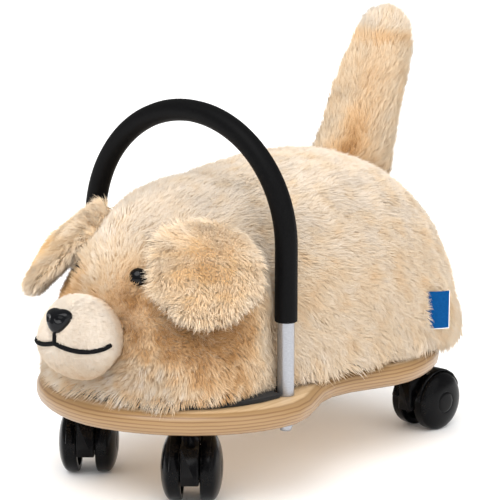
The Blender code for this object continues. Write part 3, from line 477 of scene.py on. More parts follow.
# %% The castor wheels
WHEEL_RADIUS = 0.025
WHEEL_INNER = 0.0072
WHEEL_TREAD = 0.0078
WHEEL_DOME = 0.0083
WHEEL_HUB = 0.0068
WHEEL_BORE = 0.0033
WHEEL_SPIN_STEPS = 64
CASTOR_TRAIL = 0.0143
CASTOR_PLACES = {
    "front_left": (0.0539, -0.1277, 37), "front_right": (-0.0539, -0.1277, 38),
    "rear_left": (0.0745, 0.1403, -8), "rear_right": (-0.0745, 0.1403, 8)}
WHEEL_RING = 0.0090
WHEEL_RING_WIDTH = 0.0010
WHEEL_RING_DEPTH = 0.0004
WHEEL_FACE_STEPS = 18
WHEEL_CHAMFER = 0.0008
WHEEL_WEB = 0.0008
WHEEL_RIM_WALL = 0.0045
WHEEL_BORE_END = 0.0188
WHEEL_SMOOTH_ANGLE = math.radians(28)


def wheel_face(radius):
    """How far the domed face stands out of the tread's edge at this radius."""
    dome = WHEEL_DOME * math.sqrt(max(0.0, 1 - (radius / WHEEL_RADIUS) ** 2))
    return dome - WHEEL_RING_DEPTH * math.exp(-((radius - WHEEL_RING) / WHEEL_RING_WIDTH * 2) ** 2)


def turned_wheel():
    """Spins the wheel's half section round the X axis."""
    outer = WHEEL_INNER + WHEEL_TREAD
    turns = [math.pi / 2 * step / WHEEL_FACE_STEPS for step in range(WHEEL_FACE_STEPS + 1)]
    ring = [WHEEL_RING + WHEEL_RING_WIDTH * share / 2 for share in (-1.0, -0.5, 0.0, 0.5, 1.0)]
    radii = sorted([WHEEL_RADIUS * math.sin(turn) for turn in turns] + ring)
    face = [(outer + wheel_face(radius), radius) for radius in radii]
    inner_rim = WHEEL_RADIUS - WHEEL_RIM_WALL
    web = outer + WHEEL_WEB
    back = [(WHEEL_INNER + WHEEL_CHAMFER, WHEEL_RADIUS),
            (WHEEL_INNER, WHEEL_RADIUS - WHEEL_CHAMFER),
            (WHEEL_INNER, inner_rim), (web, inner_rim), (web, WHEEL_HUB),
            (WHEEL_INNER, WHEEL_HUB), (WHEEL_INNER, WHEEL_BORE),
            (WHEEL_BORE_END, WHEEL_BORE), (WHEEL_BORE_END, 0.0)]
    outline = face + back
    mesh = bpy.data.meshes.new("wheel_section")
    mesh.from_pydata([(x, radius, 0.0) for x, radius in outline],
                     [(index, index + 1) for index in range(len(outline) - 1)], [])
    item = placed("wheel_section", mesh)
    bpy.ops.object.mode_set(mode="EDIT")
    bpy.ops.mesh.select_all(action="SELECT")
    bpy.ops.mesh.spin(steps=WHEEL_SPIN_STEPS, angle=2 * math.pi, center=(0, 0, 0), axis=(1, 0, 0))
    bpy.ops.object.mode_set(mode="OBJECT")
    closed_up(WHEEL_SMOOTH_ANGLE)
    return item


section = turned_wheel()
for corner, (x, y, degrees) in CASTOR_PLACES.items():
    place = (Matrix.Translation((x, y, 0)) @ Matrix.Rotation(math.radians(degrees), 4, "Z")
             @ Matrix.Translation((0, CASTOR_TRAIL, WHEEL_RADIUS)))
    for letter, half_turn in (("a", 0.0), ("b", math.pi)):
        wheel = placed(f"castor_wheel_{letter}_{corner}", section.data.copy())
        wheel.data.transform(place @ Matrix.Rotation(half_turn, 4, "Z"))
        node = f"wheel_{letter}_{corner}"
        finished(wheel, moulded_nylon, "black_plastic", body_of(node), node)
bpy.data.objects.remove(section, do_unlink=True)
print("wheels:", 2 * len(CASTOR_PLACES))

# %% [markdown]
# ## Stuffed skins
# Under the long pile lies a cloth skin, sewn from panels and stuffed. Each skin starts as a copy of
# its solid, remeshed to even squares, and drawn in by the depth of the pile. A cloth simulation
# with some pressure then swells it the way stuffing does, with a cap on how far a point may move.
# Head and body are one bag on the real toy, so they are one skin here. Where an ear, the tail or
# the muzzle is sewn on, its root goes inward instead, so that it meets the skin that carries it.

# %% Stuffed skins
PILE_DEPTH = 0.0080
EAR_PILE_DEPTH = 0.0065
MUZZLE_PILE_DEPTH = 0.0010
CLOTH_FRAMES = 20
CLOTH_PRESSURE = 4.0
PAD_LEVEL = 0.0831
HEM_RISE = 0.035
HEM_DEPTH_SHARE = 0.30
BACK_DROP = 0.0097
BACK_LOWEST = -0.005
BACK_REACH_FRONT = 0.055
BACK_REACH_REAR = 0.075
FLANK_FILL = 0.0050
FLANK_TRIM = 0.0035
TAIL_PILE_DEPTH = 0.0048
TAIL_DROP = 0.0025
TAIL_SHIFT = 0.0065
TAIL_TAPER = 0.20
TAIL_FLARE = 0.0210
TAIL_SPREAD = 0.0080
JOWL_CENTRE = (0.0, -0.178, 0.131)
JOWL_FILL = 0.0032
EAR_MIDDLE = (0.0730, -0.1270, 0.1820)
EAR_FACING = (0.58, -0.42, 0.70)
EAR_HANG = (0.30, -0.69, -0.66)
EAR_GLOW = np.array((0.08, -0.70, 0.90))
EAR_HALF_LENGTH = 0.051
EAR_HALF_WIDTH = 0.0475
EAR_SINK = 0.0040


def unit_rows(rows):
    return rows / np.maximum(np.linalg.norm(rows, axis=1, keepdims=True), 1e-9)


def above(value, start, run):
    """0 up to start, and then evenly up to 1 over the run."""
    return np.clip((value - start) / run, 0, 1)


def below(value, start, run):
    """0 down to start, and then evenly up to 1 over the run."""
    return np.clip((start - value) / run, 0, 1)


def hump(value, middle, spread):
    """1 in the middle, and softly down to 0 on both sides of it."""
    return np.exp(-((value - middle) / spread) ** 2)


def vertex_rows(mesh, label="co"):
    """All vertex places of a mesh, or all its normals, as rows."""
    rows = np.empty(len(mesh.vertices) * 3)
    mesh.vertices.foreach_get(label, rows)
    return rows.reshape(-1, 3)


def set_vertices(mesh, places):
    mesh.vertices.foreach_set("co", np.ascontiguousarray(places).ravel())
    mesh.update()


def tree_of(*items):
    """A search tree over the surfaces of these objects."""
    verts, faces = [], []
    for item in items:
        start = len(verts)
        verts += [vert.co.copy() for vert in item.data.vertices]
        faces += [[start + index for index in face.vertices] for face in item.data.polygons]
    return BVHTree.FromPolygons(verts, faces)


def apply_modifier(item, kind, **settings):
    """Adds a modifier, sets it up and applies it."""
    select_only(item)
    modifier = item.modifiers.new(kind.lower(), kind)
    set_all(modifier, **settings)
    bpy.ops.object.modifier_apply(modifier=modifier.name)


def swollen(item, cap):
    """Lets the skin swell under pressure, and caps how far each point moves."""
    before = vertex_rows(item.data)
    select_only(item)
    cloth = item.modifiers.new("cloth", "CLOTH")
    set_all(cloth.settings, use_pressure=True, uniform_pressure_force=CLOTH_PRESSURE, quality=4)
    cloth.settings.effector_weights.gravity = 0.0
    cloth.collision_settings.use_collision = False
    set_all(cloth.point_cache, frame_start=1, frame_end=CLOTH_FRAMES)
    for step in range(1, CLOTH_FRAMES + 1):
        scene.frame_set(step)
    bpy.ops.object.modifier_apply(modifier=cloth.name)
    scene.frame_set(1)
    move = vertex_rows(item.data) - before
    length = np.linalg.norm(move, axis=1, keepdims=True)
    set_vertices(item.data, before + move * np.minimum(1.0, cap / np.maximum(length, 1e-9)))


def dog_shape(places):
    """Lowers the back between the ears and the seat, and fills the flank over the rear castors."""
    x, y, z = places.T
    rear = y > BACK_LOWEST
    behind = np.abs(y - BACK_LOWEST) / np.where(rear, BACK_REACH_REAR, BACK_REACH_FRONT)
    drop = BACK_DROP * np.exp(-behind ** np.where(rear, 2.5, 4.0))
    places[:, 2] -= drop * above(z, 0.140, 0.105) ** 1.3
    full = FLANK_FILL * hump(y, 0.130, 0.060) * below(z, 0.145, 0.05)
    trim = FLANK_TRIM * hump(z, 0.180, 0.045) * above(y, 0.09, 0.05)
    out = unit_rows(np.stack([x, (y - 0.120), np.zeros_like(x)], axis=1))
    return places + out * (full - trim)[:, None]


def tail_shape(places):
    """Leans the tail back a little, slims it, and spreads its root forward and back."""
    x, y, z = places.T
    axis = 0.158 + 0.37 * (z - 0.255)
    root = below(z, 0.280, 0.065) ** 1.5
    front = np.clip((axis - y) / 0.03 + 0.5, 0, 1)
    slim = 1 - TAIL_TAPER * (0.3 + 0.7 * above(z, 0.300, 0.035))
    places[:, 0] *= slim
    places[:, 1] = axis + (y - axis) * slim
    places[:, 1] += TAIL_SHIFT * above(z, 0.285, 0.035) - TAIL_FLARE * root * front
    places[:, 1] += TAIL_SPREAD * root * (1 - front)
    places[:, 2] -= TAIL_DROP * above(z, 0.33, 0.02)
    return places


def muzzle_shape(places):
    """Fills the jowls, one on each side below the nose."""
    rows = places - JOWL_CENTRE
    side = np.degrees(np.arctan2(np.abs(rows[:, 0]), -rows[:, 1]))
    full = JOWL_FILL * hump(side, 55, 25) * below(places[:, 2], 0.142, 0.02)
    out = unit_rows(rows * np.array((1.0, 1.0, 0.0)))
    return places + out * full[:, None]


def ear_frame(side):
    """Middle of an ear, the way its face looks, the way it hangs and the way across it."""
    facing = Vector((side * EAR_FACING[0], *EAR_FACING[1:])).normalized()
    hang = Vector((side * EAR_HANG[0], *EAR_HANG[1:]))
    hang = (hang - facing * hang.dot(facing)).normalized()
    middle = np.array((side * EAR_MIDDLE[0], *EAR_MIDDLE[1:]))
    return middle, np.array(facing), np.array(hang), np.array(hang.cross(facing))


def near_ear_shape(places):
    """Sinks the sewn end of the near ear, so that it runs into the head without a step."""
    middle, facing, hang, _ = ear_frame(1)
    down = (places - middle) @ hang / EAR_HALF_LENGTH
    return places - facing * (EAR_SINK * below(down, -0.25, 0.6))[:, None]


def stuffed_skin(name, sources, voxel, depth, cap, carrier=None, shape=None, levels=0):
    """A swollen cloth skin inside the solids of these nodes."""
    item = merged_copy(name, *sources)
    apply_modifier(item, "REMESH", mode="VOXEL", voxel_size=voxel)
    apply_modifier(item, "SMOOTH", factor=0.5, iterations=3)
    places, normals = vertex_rows(item.data), vertex_rows(item.data, "normal")
    hem = above(places[:, 2], PAD_LEVEL, HEM_RISE)
    move = -normals * (depth * (HEM_DEPTH_SHARE + (1 - HEM_DEPTH_SHARE) * hem))[:, None]
    if carrier:
        for index, place in enumerate(places):
            hit, out, _, _ = carrier.find_nearest(Vector(place), voxel * 1.2)
            if hit is not None:
                move[index] += np.array(out) * -PILE_DEPTH
    places = places + move
    set_vertices(item.data, shape(places) if shape else places)
    swollen(item, cap)
    if levels:
        apply_modifier(item, "SUBSURF", levels=levels, render_levels=levels)
    bpy.ops.object.shade_smooth()
    cut = vertex_rows(item.data)
    cut[:, 2] = np.maximum(cut[:, 2], PAD_LEVEL)
    set_vertices(item.data, cut)
    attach(item, "toy")
    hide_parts(*sources)
    return item


body_tree = tree_of(nodes["plush_body"])
head_tree = tree_of(nodes["plush_head"])
skins = {
    "dog": stuffed_skin("stuffed_dog_skin", ("plush_body", "plush_head"), voxel=0.0050,
                        depth=PILE_DEPTH, cap=0.004, shape=dog_shape),
    "tail": stuffed_skin("stuffed_tail", ("tail",), voxel=0.0040, depth=TAIL_PILE_DEPTH,
                         cap=0.003, carrier=body_tree, shape=tail_shape)}
for part, shape in (("ear_left", near_ear_shape), ("ear_right", None)):
    skins[part] = stuffed_skin("stuffed_" + part, (part,), voxel=0.0035, depth=EAR_PILE_DEPTH,
                               cap=0.002, carrier=head_tree, shape=shape)
skins["muzzle"] = stuffed_skin("stuffed_muzzle", ("muzzle",), voxel=0.0025,
                               depth=MUZZLE_PILE_DEPTH, cap=0.001, carrier=head_tree,
                               shape=muzzle_shape, levels=1)
print("skins:", {part: len(item.data.polygons) for part, item in skins.items()})

# %% [markdown]
# ## The pile
# The plush is a knitted backing with a long soft pile, cream at the tips and tan at the roots. The
# hairs cling together in tufts, and between the tufts the tan shows. A particle system is dropped
# when a model leaves Blender, so each lock of hair is real geometry here: a closed three-sided
# spindle, pointed at both ends, with one bend. All roots are spread over the skin at once, in code,
# because some hundred thousand of them can't be placed by hand.
#
# The colour of a lock is kept in a map with two directions: across is how tan the lock is, and up
# is the way from its root to its tip. So the material needs nothing but this map. The ears and the
# muzzle each have a paler pile of their own.

# %% The pile's material
PILE_MAP = "OFBake"
TONE_HALF_WIDTH = 0.006
ROOT_LEVEL = 0.10
TIP_LEVEL = 0.30


def pile_material(name, tips, roots):
    """Colours a lock from its map: across is its tone, up is root to tip."""
    look, tree, shader = new_material(name, Roughness=0.8, Specular_IOR_Level=0.12)
    place = axes_of(tree, add_node(tree, "ShaderNodeUVMap", uv_map=PILE_MAP).outputs["UV"])
    along = remapped(tree, place["Y"], ROOT_LEVEL, TIP_LEVEL)
    fill(shader, Base_Color=blended(tree, along, ramp(tree, place["X"], roots),
                                    ramp(tree, place["X"], tips)))
    return look


cream_pile = pile_material(
    "cream_pile", [(0.0, (0.84, 0.75, 0.655)), (0.25, (0.82, 0.68, 0.51)),
                   (0.6, (0.85, 0.60, 0.36)), (1.0, (0.60, 0.335, 0.14))],
    [(0.0, (0.80, 0.64, 0.46)), (0.25, (0.75, 0.525, 0.315)),
     (0.6, (0.64, 0.36, 0.155)), (1.0, (0.34, 0.15, 0.05))])
ear_look = pile_material(
    "ear_pile", [(0.0, (0.96, 0.83, 0.68)), (0.5, (0.95, 0.67, 0.38)), (1.0, (0.80, 0.46, 0.18))],
    [(0.0, (0.95, 0.73, 0.48)), (0.5, (0.84, 0.49, 0.20)), (1.0, (0.60, 0.29, 0.09))])
short_pile = pile_material(
    "short_muzzle_pile",
    [(0.0, (0.88, 0.79, 0.69)), (0.5, (0.84, 0.69, 0.53)), (1.0, (0.72, 0.48, 0.28))],
    [(0.0, (0.89, 0.78, 0.65)), (0.5, (0.82, 0.64, 0.46)), (1.0, (0.58, 0.36, 0.18))])


def backing_material(name, dark, light):
    """The knitted backing that shows between the locks."""
    look, tree, shader = new_material(name, Roughness=0.9, Sheen_Weight=0.2)
    knit = noise_on(tree, (600.0, 600.0, 600.0), 3.0)
    fill(shader, Base_Color=ramp(tree, knit, [(0.35, dark), (0.65, light)]))
    add_bump(tree, shader, knit, 0.0004)
    return look


long_backing = backing_material("knitted_backing", (0.78, 0.55, 0.33), (0.84, 0.64, 0.42))
ear_backing = backing_material("ear_backing", (0.88, 0.66, 0.42), (0.92, 0.74, 0.52))
short_backing = backing_material("muzzle_backing", (0.82, 0.70, 0.56), (0.88, 0.77, 0.64))
for item, look in zip(skins.values(), (long_backing, long_backing, ear_backing, ear_backing,
                                       short_backing)):
    dress(item, look)

# %% [markdown]
# ## Growing the pile
# For each skin the roots are drawn at random by area, and each lock takes its place, its normal and
# the way the pile is combed there. A coarse wave turns the combing a little from place to place.
# Every lock leans toward the tip of the nearest tuft, which makes the tufts and the partings. A
# hair that would run into a leg of the handle is pushed aside. Locks that would still run into
# the handle, an eye, the nose or the tab are left out, and what hangs low is laid on the board.

# %% Growing the pile
LOCK_WIDTH = 0.00048
LOCK_CORNERS = 5
LOCK_FACES = 6
SKIN_SHARE = 0.78
PANEL_MOST = 32500
PUSHED_CLEAR = 0.0010
LEAST_CLEAR = 0.0006
IN_FRONT = -0.3
EYE_PLACE = (0.0310, 0.1750)
EYE_SINK = 0.0040
EYE_ROOM = 0.0060
EYE_FRONT = 0.0060
EYE_CROWN = 0.0034
NOSE_ROOM = np.array((0.0115, 0.0070, 0.0085))
MUZZLE_MIDDLE = np.array((0.0, -0.1856, 0.1310))
HANG_MOST = 0.0140
TAB_ROOT = np.array((0.1125, 0.0950))
TAB_WAY = np.array((0.60, 0.80))
TAB_ASIDE = np.array((TAB_WAY[1], -TAB_WAY[0]))
TAB_LENGTH = 0.0205
TAB_SEWN = 0.0060
TAB_LEVELS = (0.1015, 0.1327)
draw = np.random.default_rng(747)
made_locks = 0


def sampled_roots(part, density):
    """Random places on a skin with their normals, spread by area."""
    mesh = skins[part].data
    mesh.calc_loop_triangles()
    corners = np.empty(len(mesh.loop_triangles) * 3, dtype=np.int32)
    mesh.loop_triangles.foreach_get("vertices", corners)
    corners = corners.reshape(-1, 3)
    places, normals = vertex_rows(mesh), vertex_rows(mesh, "normal")
    a, b, c = places[corners[:, 0]], places[corners[:, 1]], places[corners[:, 2]]
    area = np.linalg.norm(np.cross(b - a, c - a), axis=1)
    count = int(area.sum() / 2 * density * (1.0))
    pick = draw.choice(len(corners), size=count, p=area / area.sum())
    u, v = draw.random(count), draw.random(count)
    fold = u + v > 1
    u[fold], v[fold] = 1 - u[fold], 1 - v[fold]
    share = np.stack([1 - u - v, u, v], axis=1)[:, :, None]
    root = (places[corners[pick]] * share).sum(axis=1)
    normal = unit_rows((normals[corners[pick]] * share).sum(axis=1))
    return root, normal


def smooth_noise(places, size, seed):
    """A smooth random number from -1 to 1 at each place, with features of about this size."""
    draw = np.random.default_rng(seed)
    total = np.zeros(len(places))
    for _ in range(10):
        way = unit_rows(draw.normal(size=(1, 3)))[0]
        pace = 2 * math.pi / (size * draw.uniform(0.7, 1.6))
        total += np.sin(places @ way * pace + draw.uniform(0, 2 * math.pi))
    return np.clip(total / 3.2, -1, 1)


def nearest_clump(places, centres):
    """For each place, the index of the nearest tuft centre."""
    tree = KDTree(len(centres))
    for index, centre in enumerate(centres):
        tree.insert(centre, index)
    tree.balance()
    return np.array([tree.find(place)[1] for place in places])


def segment_distance(places, start, end):
    """Distance from each place to a straight line between two points."""
    start, end = np.array(start), np.array(end)
    way = end - start
    share = np.clip((places - start) @ way / (way @ way), 0, 1)
    return np.linalg.norm(places - start - share[:, None] * way, axis=1)


def handle_distance(places):
    """Distance from each place to the handle's centre line."""
    line = handle_line(0.0)
    line = [line[0], *line[1:-1:4], line[-1]]
    return np.min([segment_distance(places, *ends) for ends in zip(line, line[1:])], axis=0)


def bar_radius(spot):
    """Radius of the tube or of its foam grip, by the height of each point."""
    return np.where(spot[:, 2] > HANDLE_FOOT + GRIP_HEIGHT, GRIP_RADIUS, TUBE_RADIUS)


def beside_handle(root, spot):
    """Moves points out of the handle's two legs, back to the side that their roots are on."""
    for side in (1, -1):
        axis = np.array((side * HANDLE_HALF_WIDTH, HANDLE_PLANE))
        away = spot[:, :2] - axis
        way = unit_rows(root[:, :2] - axis)
        room = bar_radius(spot) + PUSHED_CLEAR
        inside = (np.hypot(*away.T) < room) & (spot[:, 2] < HANDLE_SHOULDER)
        half = (away * way).sum(axis=1)
        rest = (away ** 2).sum(axis=1) - room ** 2
        push = np.sqrt(np.maximum(half ** 2 - rest, 0)) - half
        spot[:, :2] += way * (push * inside)[:, None]


def seat(tree, start, way):
    """Where a line meets a surface, and the surface's normal there, turned to the line's start."""
    place, normal, _, _ = tree.ray_cast(Vector(start), Vector(way))
    if normal.dot(Vector(way)) > 0:
        normal = -normal
    return place, normal


EYE_SEATS = []
for sign in (1, -1):
    socket, facing_way = seat(head_tree, (sign * EYE_PLACE[0], IN_FRONT, EYE_PLACE[1]), (0, 1, 0))
    skin_place = socket + Vector((0, EYE_SINK / facing_way.y, 0))
    EYE_SEATS.append((np.array(skin_place - facing_way * EYE_SINK), np.array(facing_way)))
NOSE_MIDDLE = np.array([(low + high) / 2 for low, high in zip(*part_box("nose"))])


def off_the_tab(spot):
    """True where a hair's point isn't in the way of the sewn tab, which stands off the flank."""
    plan = spot[:, :2] - TAB_ROOT
    along = plan @ TAB_WAY
    aside = plan @ TAB_ASIDE
    level = (spot[:, 2] > TAB_LEVELS[0] - 0.001) & (spot[:, 2] < TAB_LEVELS[1] + 0.001)
    front = (aside > -0.0012) & (along > TAB_SEWN + 0.0015) & (along < TAB_LENGTH + 0.002)
    return ~(level & front)


def locks(root, normal, comb, length, width, tone, clump_size, clump_pull, bend, whirl):
    """Root, middle and tip of every lock, with its width, tone and normal, gathered in tufts."""
    count = len(root)
    along = unit_rows(comb - normal * (comb * normal).sum(axis=1, keepdims=True))
    across = np.cross(normal, along)
    spin = smooth_noise(root, 0.045, 5) * 0.35 + smooth_noise(root, 0.016, 6) * whirl
    spin += draw.normal(size=count) * 0.30
    flow = along * np.cos(spin)[:, None] + across * np.sin(spin)[:, None]
    size = length * (1 + 0.10 * smooth_noise(root, 0.02, 9) + draw.normal(size=count) * 0.12)
    lean = bend + 0.13 * draw.normal(size=count)
    tip = root + (normal * np.cos(lean)[:, None] + flow * np.sin(lean)[:, None]) * size[:, None]
    centres = draw.choice(count, size=max(8, int(count * 0.06)), replace=False)
    keep = []
    cells = set()
    for index in centres:
        cell = tuple((root[index] / clump_size).astype(int))
        if cell not in cells:
            cells.add(cell)
            keep.append(index)
    keep = np.array(keep)
    group = nearest_clump(root, root[keep])
    target = tip[keep][group] + (root - root[keep][group]) * 0.35
    pull = np.clip(clump_pull * (0.75 + 0.25 * draw.random(count)), 0, 1)[:, None]
    tip = tip * (1 - pull) + target * pull
    middle = root + (tip - root) * 0.45 + normal * (size * 0.13)[:, None]
    shade = draw.normal(size=count) * 0.045 + draw.normal(size=len(keep))[group] * 0.04
    return root, middle, tip, width * (1 + 0.15 * draw.normal(size=count)), tone + shade, normal


def pile_piece(name, root, middle, tip, width, tone, normal, look, slot):
    """Builds the closed spindles of one panel as a mesh with its colour map."""
    count = len(root)
    way = unit_rows(tip - root)
    side = unit_rows(np.cross(way, np.array([[0.31, 0.22, 0.93]])))
    other = np.cross(way, side)
    rim, lit = [], [normal]
    for angle in (0.0, 2 * math.pi / 3, 4 * math.pi / 3):
        spoke = side * math.cos(angle) + other * math.sin(angle)
        rim.append(middle + spoke * (width / 2)[:, None])
        lit.append(unit_rows(normal * SKIN_SHARE + spoke * (1 - SKIN_SHARE)))
    lit.append(unit_rows(normal * SKIN_SHARE + way * (1 - SKIN_SHARE)))
    verts = np.stack([root, *rim, tip], axis=1).reshape(-1, 3)
    faces, levels = [], []
    for k in range(3):
        n = (k + 1) % 3
        low, high = (-1, 0, 1)[k], (0, 1, -1)[k]
        faces += [(0, 1 + n, 1 + k), (4, 1 + k, 1 + n)]
        levels += [((0, 0), (high, 0.5), (low, 0.5)), ((0, 1), (low, 0.5), (high, 0.5))]
    faces = np.array(faces)
    pattern = np.array(levels, dtype=float).reshape(-1, 2)
    corners = (faces.reshape(1, -1) + np.arange(count)[:, None] * LOCK_CORNERS).reshape(-1)
    across = np.clip(tone, 0.02, 0.98)[:, None] + pattern[None, :, 0] * TONE_HALF_WIDTH
    up = np.broadcast_to(ROOT_LEVEL + (TIP_LEVEL - ROOT_LEVEL) * pattern[None, :, 1], across.shape)
    mesh = bpy.data.meshes.new(name)
    mesh.vertices.add(len(verts))
    mesh.vertices.foreach_set("co", verts.ravel())
    mesh.loops.add(len(corners))
    mesh.loops.foreach_set("vertex_index", corners.astype(np.int32))
    mesh.polygons.add(count * LOCK_FACES)
    mesh.polygons.foreach_set("loop_start", np.arange(0, len(corners), 3, dtype=np.int32))
    mesh.update(calc_edges=True)
    layer = mesh.uv_layers.new(name=PILE_MAP)
    layer.data.foreach_set("uv", np.stack([across, up], axis=2).ravel())
    mesh.polygons.foreach_set("use_smooth", np.ones(count * LOCK_FACES, dtype=bool))
    mesh.validate()
    mesh.update()
    mesh.normals_split_custom_set_from_vertices(np.stack(lit, axis=1).reshape(-1, 3))
    finished(placed(name, mesh), look, slot, "toy")


def thinned(parts, clear):
    """Keeps the locks whose test is true."""
    return [part[clear] for part in parts]


def clear_of_hardware(root, middle, tip):
    """True where a lock keeps clear of handle, eyes, nose and tab."""
    beside_handle(root, middle)
    beside_handle(root, tip)
    clear = handle_distance(root) > TUBE_RADIUS
    for spot in (middle, tip):
        clear &= handle_distance(spot) > bar_radius(spot) + LEAST_CLEAR
        for eye, facing_way in EYE_SEATS:
            rise = (spot - eye) @ facing_way
            off = np.linalg.norm(spot - eye - rise[:, None] * facing_way, axis=1)
            clear &= (off > EYE_ROOM) | (rise < -0.001) | ((rise > EYE_FRONT) & (off > EYE_CROWN))
        clear &= np.linalg.norm((spot - NOSE_MIDDLE) / NOSE_ROOM, axis=1) > 1
        clear &= off_the_tab(spot)
    return clear


board_tree = tree_of(nodes["board"])


def board_level(spots):
    """Height of the board under each low point, or well below it past the board's rim."""
    level = np.full(len(spots), BOARD_TOP - HANG_MOST)
    for index in np.flatnonzero(spots[:, 2] < BOARD_TOP + 0.004):
        start = Vector((spots[index, 0], spots[index, 1], BOARD_TOP + 0.02))
        hit = board_tree.ray_cast(start, Vector((0, 0, -1)))[0]
        if hit:
            level[index] = hit.z
    return level


def laid_on_board(parts):
    """Bends what would run into the board, so that it lies on it and spreads outward."""
    root, middle, tip = parts[:3]
    gap = 0.0007 + 0.0016 * draw.random(len(root))
    short = np.maximum(BOARD_TOP + gap - tip[:, 2], 0)
    tip += unit_rows(parts[5] * np.array((1.0, 1.0, 0.0))) * (
        short * (0.10 + 0.35 * draw.random(len(root))))[:, None]
    tip[:, 2] = np.maximum(tip[:, 2], board_level(tip) + gap)
    middle[:, 2] = np.maximum(middle[:, 2], board_level(middle) + gap + 0.0012)
    return parts


def panels(name, parts, look, slot):
    """Splits the locks into sewn panels, left and right and along the dog, each of limited size."""
    global made_locks
    root = parts[0]
    for side, mask in (("left", root[:, 0] >= 0), ("right", root[:, 0] < 0)):
        chosen = np.flatnonzero(mask)
        if not len(chosen):
            continue
        wanted = max(1, math.ceil(len(chosen) / PANEL_MOST))
        order = chosen[np.argsort(root[chosen, 1], kind="stable")]
        for number, group in enumerate(np.array_split(order, wanted), 1):
            panel = f"{name}_{side}_{number}"
            pile_piece(panel, *[part[group] for part in parts], look, slot)
            made_locks += len(group)
            print(panel + ":", len(group), "locks")


# %% [markdown]
# ### Head and body
# The pile of the back is combed backward and down, and lies rather flat. Round the cheeks it stands
# up more, so the tan roots show. Its tone is also painted tan on both cheeks below the ears and
# just
# above the muzzle: under the ears this is painted shade, added to the plush's own tan.
# Along the hem it hangs down over the board's rim, and beside the handle it is combed forward. It
# is short round the eyes, and longer on the brow between them and under the chin.

# %% Head and body pile
DENSITY = 1.20e6
DOG_LENGTH = 0.0122
DOG_TUFT = 0.0036
LEAST_UP = 0.12


def dog_pile():
    root, normal = sampled_roots("dog", DENSITY)
    keep = (normal[:, 2] > -0.75) | (root[:, 2] > 0.094)
    root, normal = root[keep], normal[keep]
    x, y, z = root.T
    beside = np.abs(x)
    head = below(y, -0.085, 0.03)
    slope = 1 - np.clip(normal[:, 2], 0, 1)
    low_face = head * below(z, 0.150, 0.03)
    front_up = head * np.clip(-1.5 * normal[:, 1], 0, 1) * above(z, 0.135, 0.02)
    chin = below(y, -0.145, 0.01) * below(z, 0.118, 0.008)
    overhang = above(y, 0.060, 0.04) * below(z, 0.110, 0.015)
    leg_near = hump(beside, HANDLE_HALF_WIDTH, 0.024) * hump(y, HANDLE_PLANE, 0.024)
    leg_near *= (y < HANDLE_PLANE) & (z < HANDLE_SHOULDER)
    comb = np.stack([
        (0.25 + 0.35 * head) * np.tanh(x / 0.03),
        0.8 - 0.9 * low_face - 1.2 * chin - 2.2 * leg_near,
        -0.75 * slope + 1.1 * front_up - 0.8 * below(z, 0.115, 0.03) - 2.5 * overhang], axis=1)
    # Painted shade: the cheeks below the ears are painted tan, on top of the tan roots that show
    # where the pile stands up. The face just above the muzzle is painted tan too.
    shaded_cheek = hump(y, -0.125, 0.030) * hump(z, 0.142, 0.026) * (beside > 0.045)
    shaded_cheek += 0.6 * hump(y, -0.150, 0.020) * hump(z, 0.150, 0.018)
    tone = 0.20 + 0.05 * smooth_noise(root, 0.05, 3) + 0.72 * shaded_cheek
    tone += 0.44 * head * (1 - 0.95 * chin) * below(z, 0.165, 0.03)
    tone -= 0.12 * head * below(z, 0.104, 0.012) * (1 - chin)
    tone = np.maximum(tone, 0.20 * head)
    tone += 0.16 * np.clip(smooth_noise(root, 0.020, 31), 0, 1) * (1 - head)
    tone += 0.22 * head * smooth_noise(root, 0.011, 4) * below(z, 0.175, 0.02)
    tone -= 0.16 * above(z, 0.16, 0.06)
    hem = below(z, 0.100, 0.012)
    gap_by_handle = hump(y, -0.098, 0.022) * (beside > 0.05)
    length = DOG_LENGTH * (1 - 0.20 * head)
    length *= 1 + hem * (0.25 - 0.30 * gap_by_handle - 0.28 * head) + 0.25 * overhang
    length *= 1 + 0.45 * chin
    brow = np.zeros_like(x)
    for eye, _ in EYE_SEATS:
        near = hump(np.linalg.norm(root - eye, axis=1), 0.0, 0.016)
        inner = beside < abs(eye[0]) - 0.002
        length *= 1 + near * np.where(inner, 0.55, -0.30)
        brow += near * inner
        tone += 0.30 * near
    by_muzzle = hump(np.linalg.norm(root - MUZZLE_MIDDLE, axis=1), 0.040, 0.010)
    bend = 1.08 - 0.40 * np.clip(shaded_cheek, 0, 1) - 0.10 * head - 0.20 * low_face - 0.30 * chin
    bend -= 0.30 * hem * (1 - overhang) + 0.35 * leg_near
    bend += 0.15 * overhang - 0.35 * by_muzzle - 0.75 * brow
    whirl = 0.28 + 0.5 * np.clip(shaded_cheek, 0, 1)
    pull = 0.24 - 0.12 * hem * (1 - head)
    parts = laid_on_board(
        locks(root, normal, comb, length, LOCK_WIDTH, tone, DOG_TUFT, pull, bend, whirl))
    parts[5][:, 2] = np.maximum(parts[5][:, 2], LEAST_UP)
    return thinned(parts, clear_of_hardware(*parts[:3]))


panels("body_pile", dog_pile(), cream_pile, "cream_plush")

# %% [markdown]
# ### Tail and ears
# The tail's pile is brushed upward to its tip. The ears are two layers of plush sewn back to back:
# their middles are combed down and golden, and their rims fan outward in pale, fine hair.

# %% Tail and ear pile
TAIL_LENGTH = 0.0122
TAIL_TUFT = 0.0034
EAR_TUFT = 0.0024
EAR_DENSITY = DENSITY * 1.15
EAR_LOCK_WIDTH = LOCK_WIDTH * 0.9


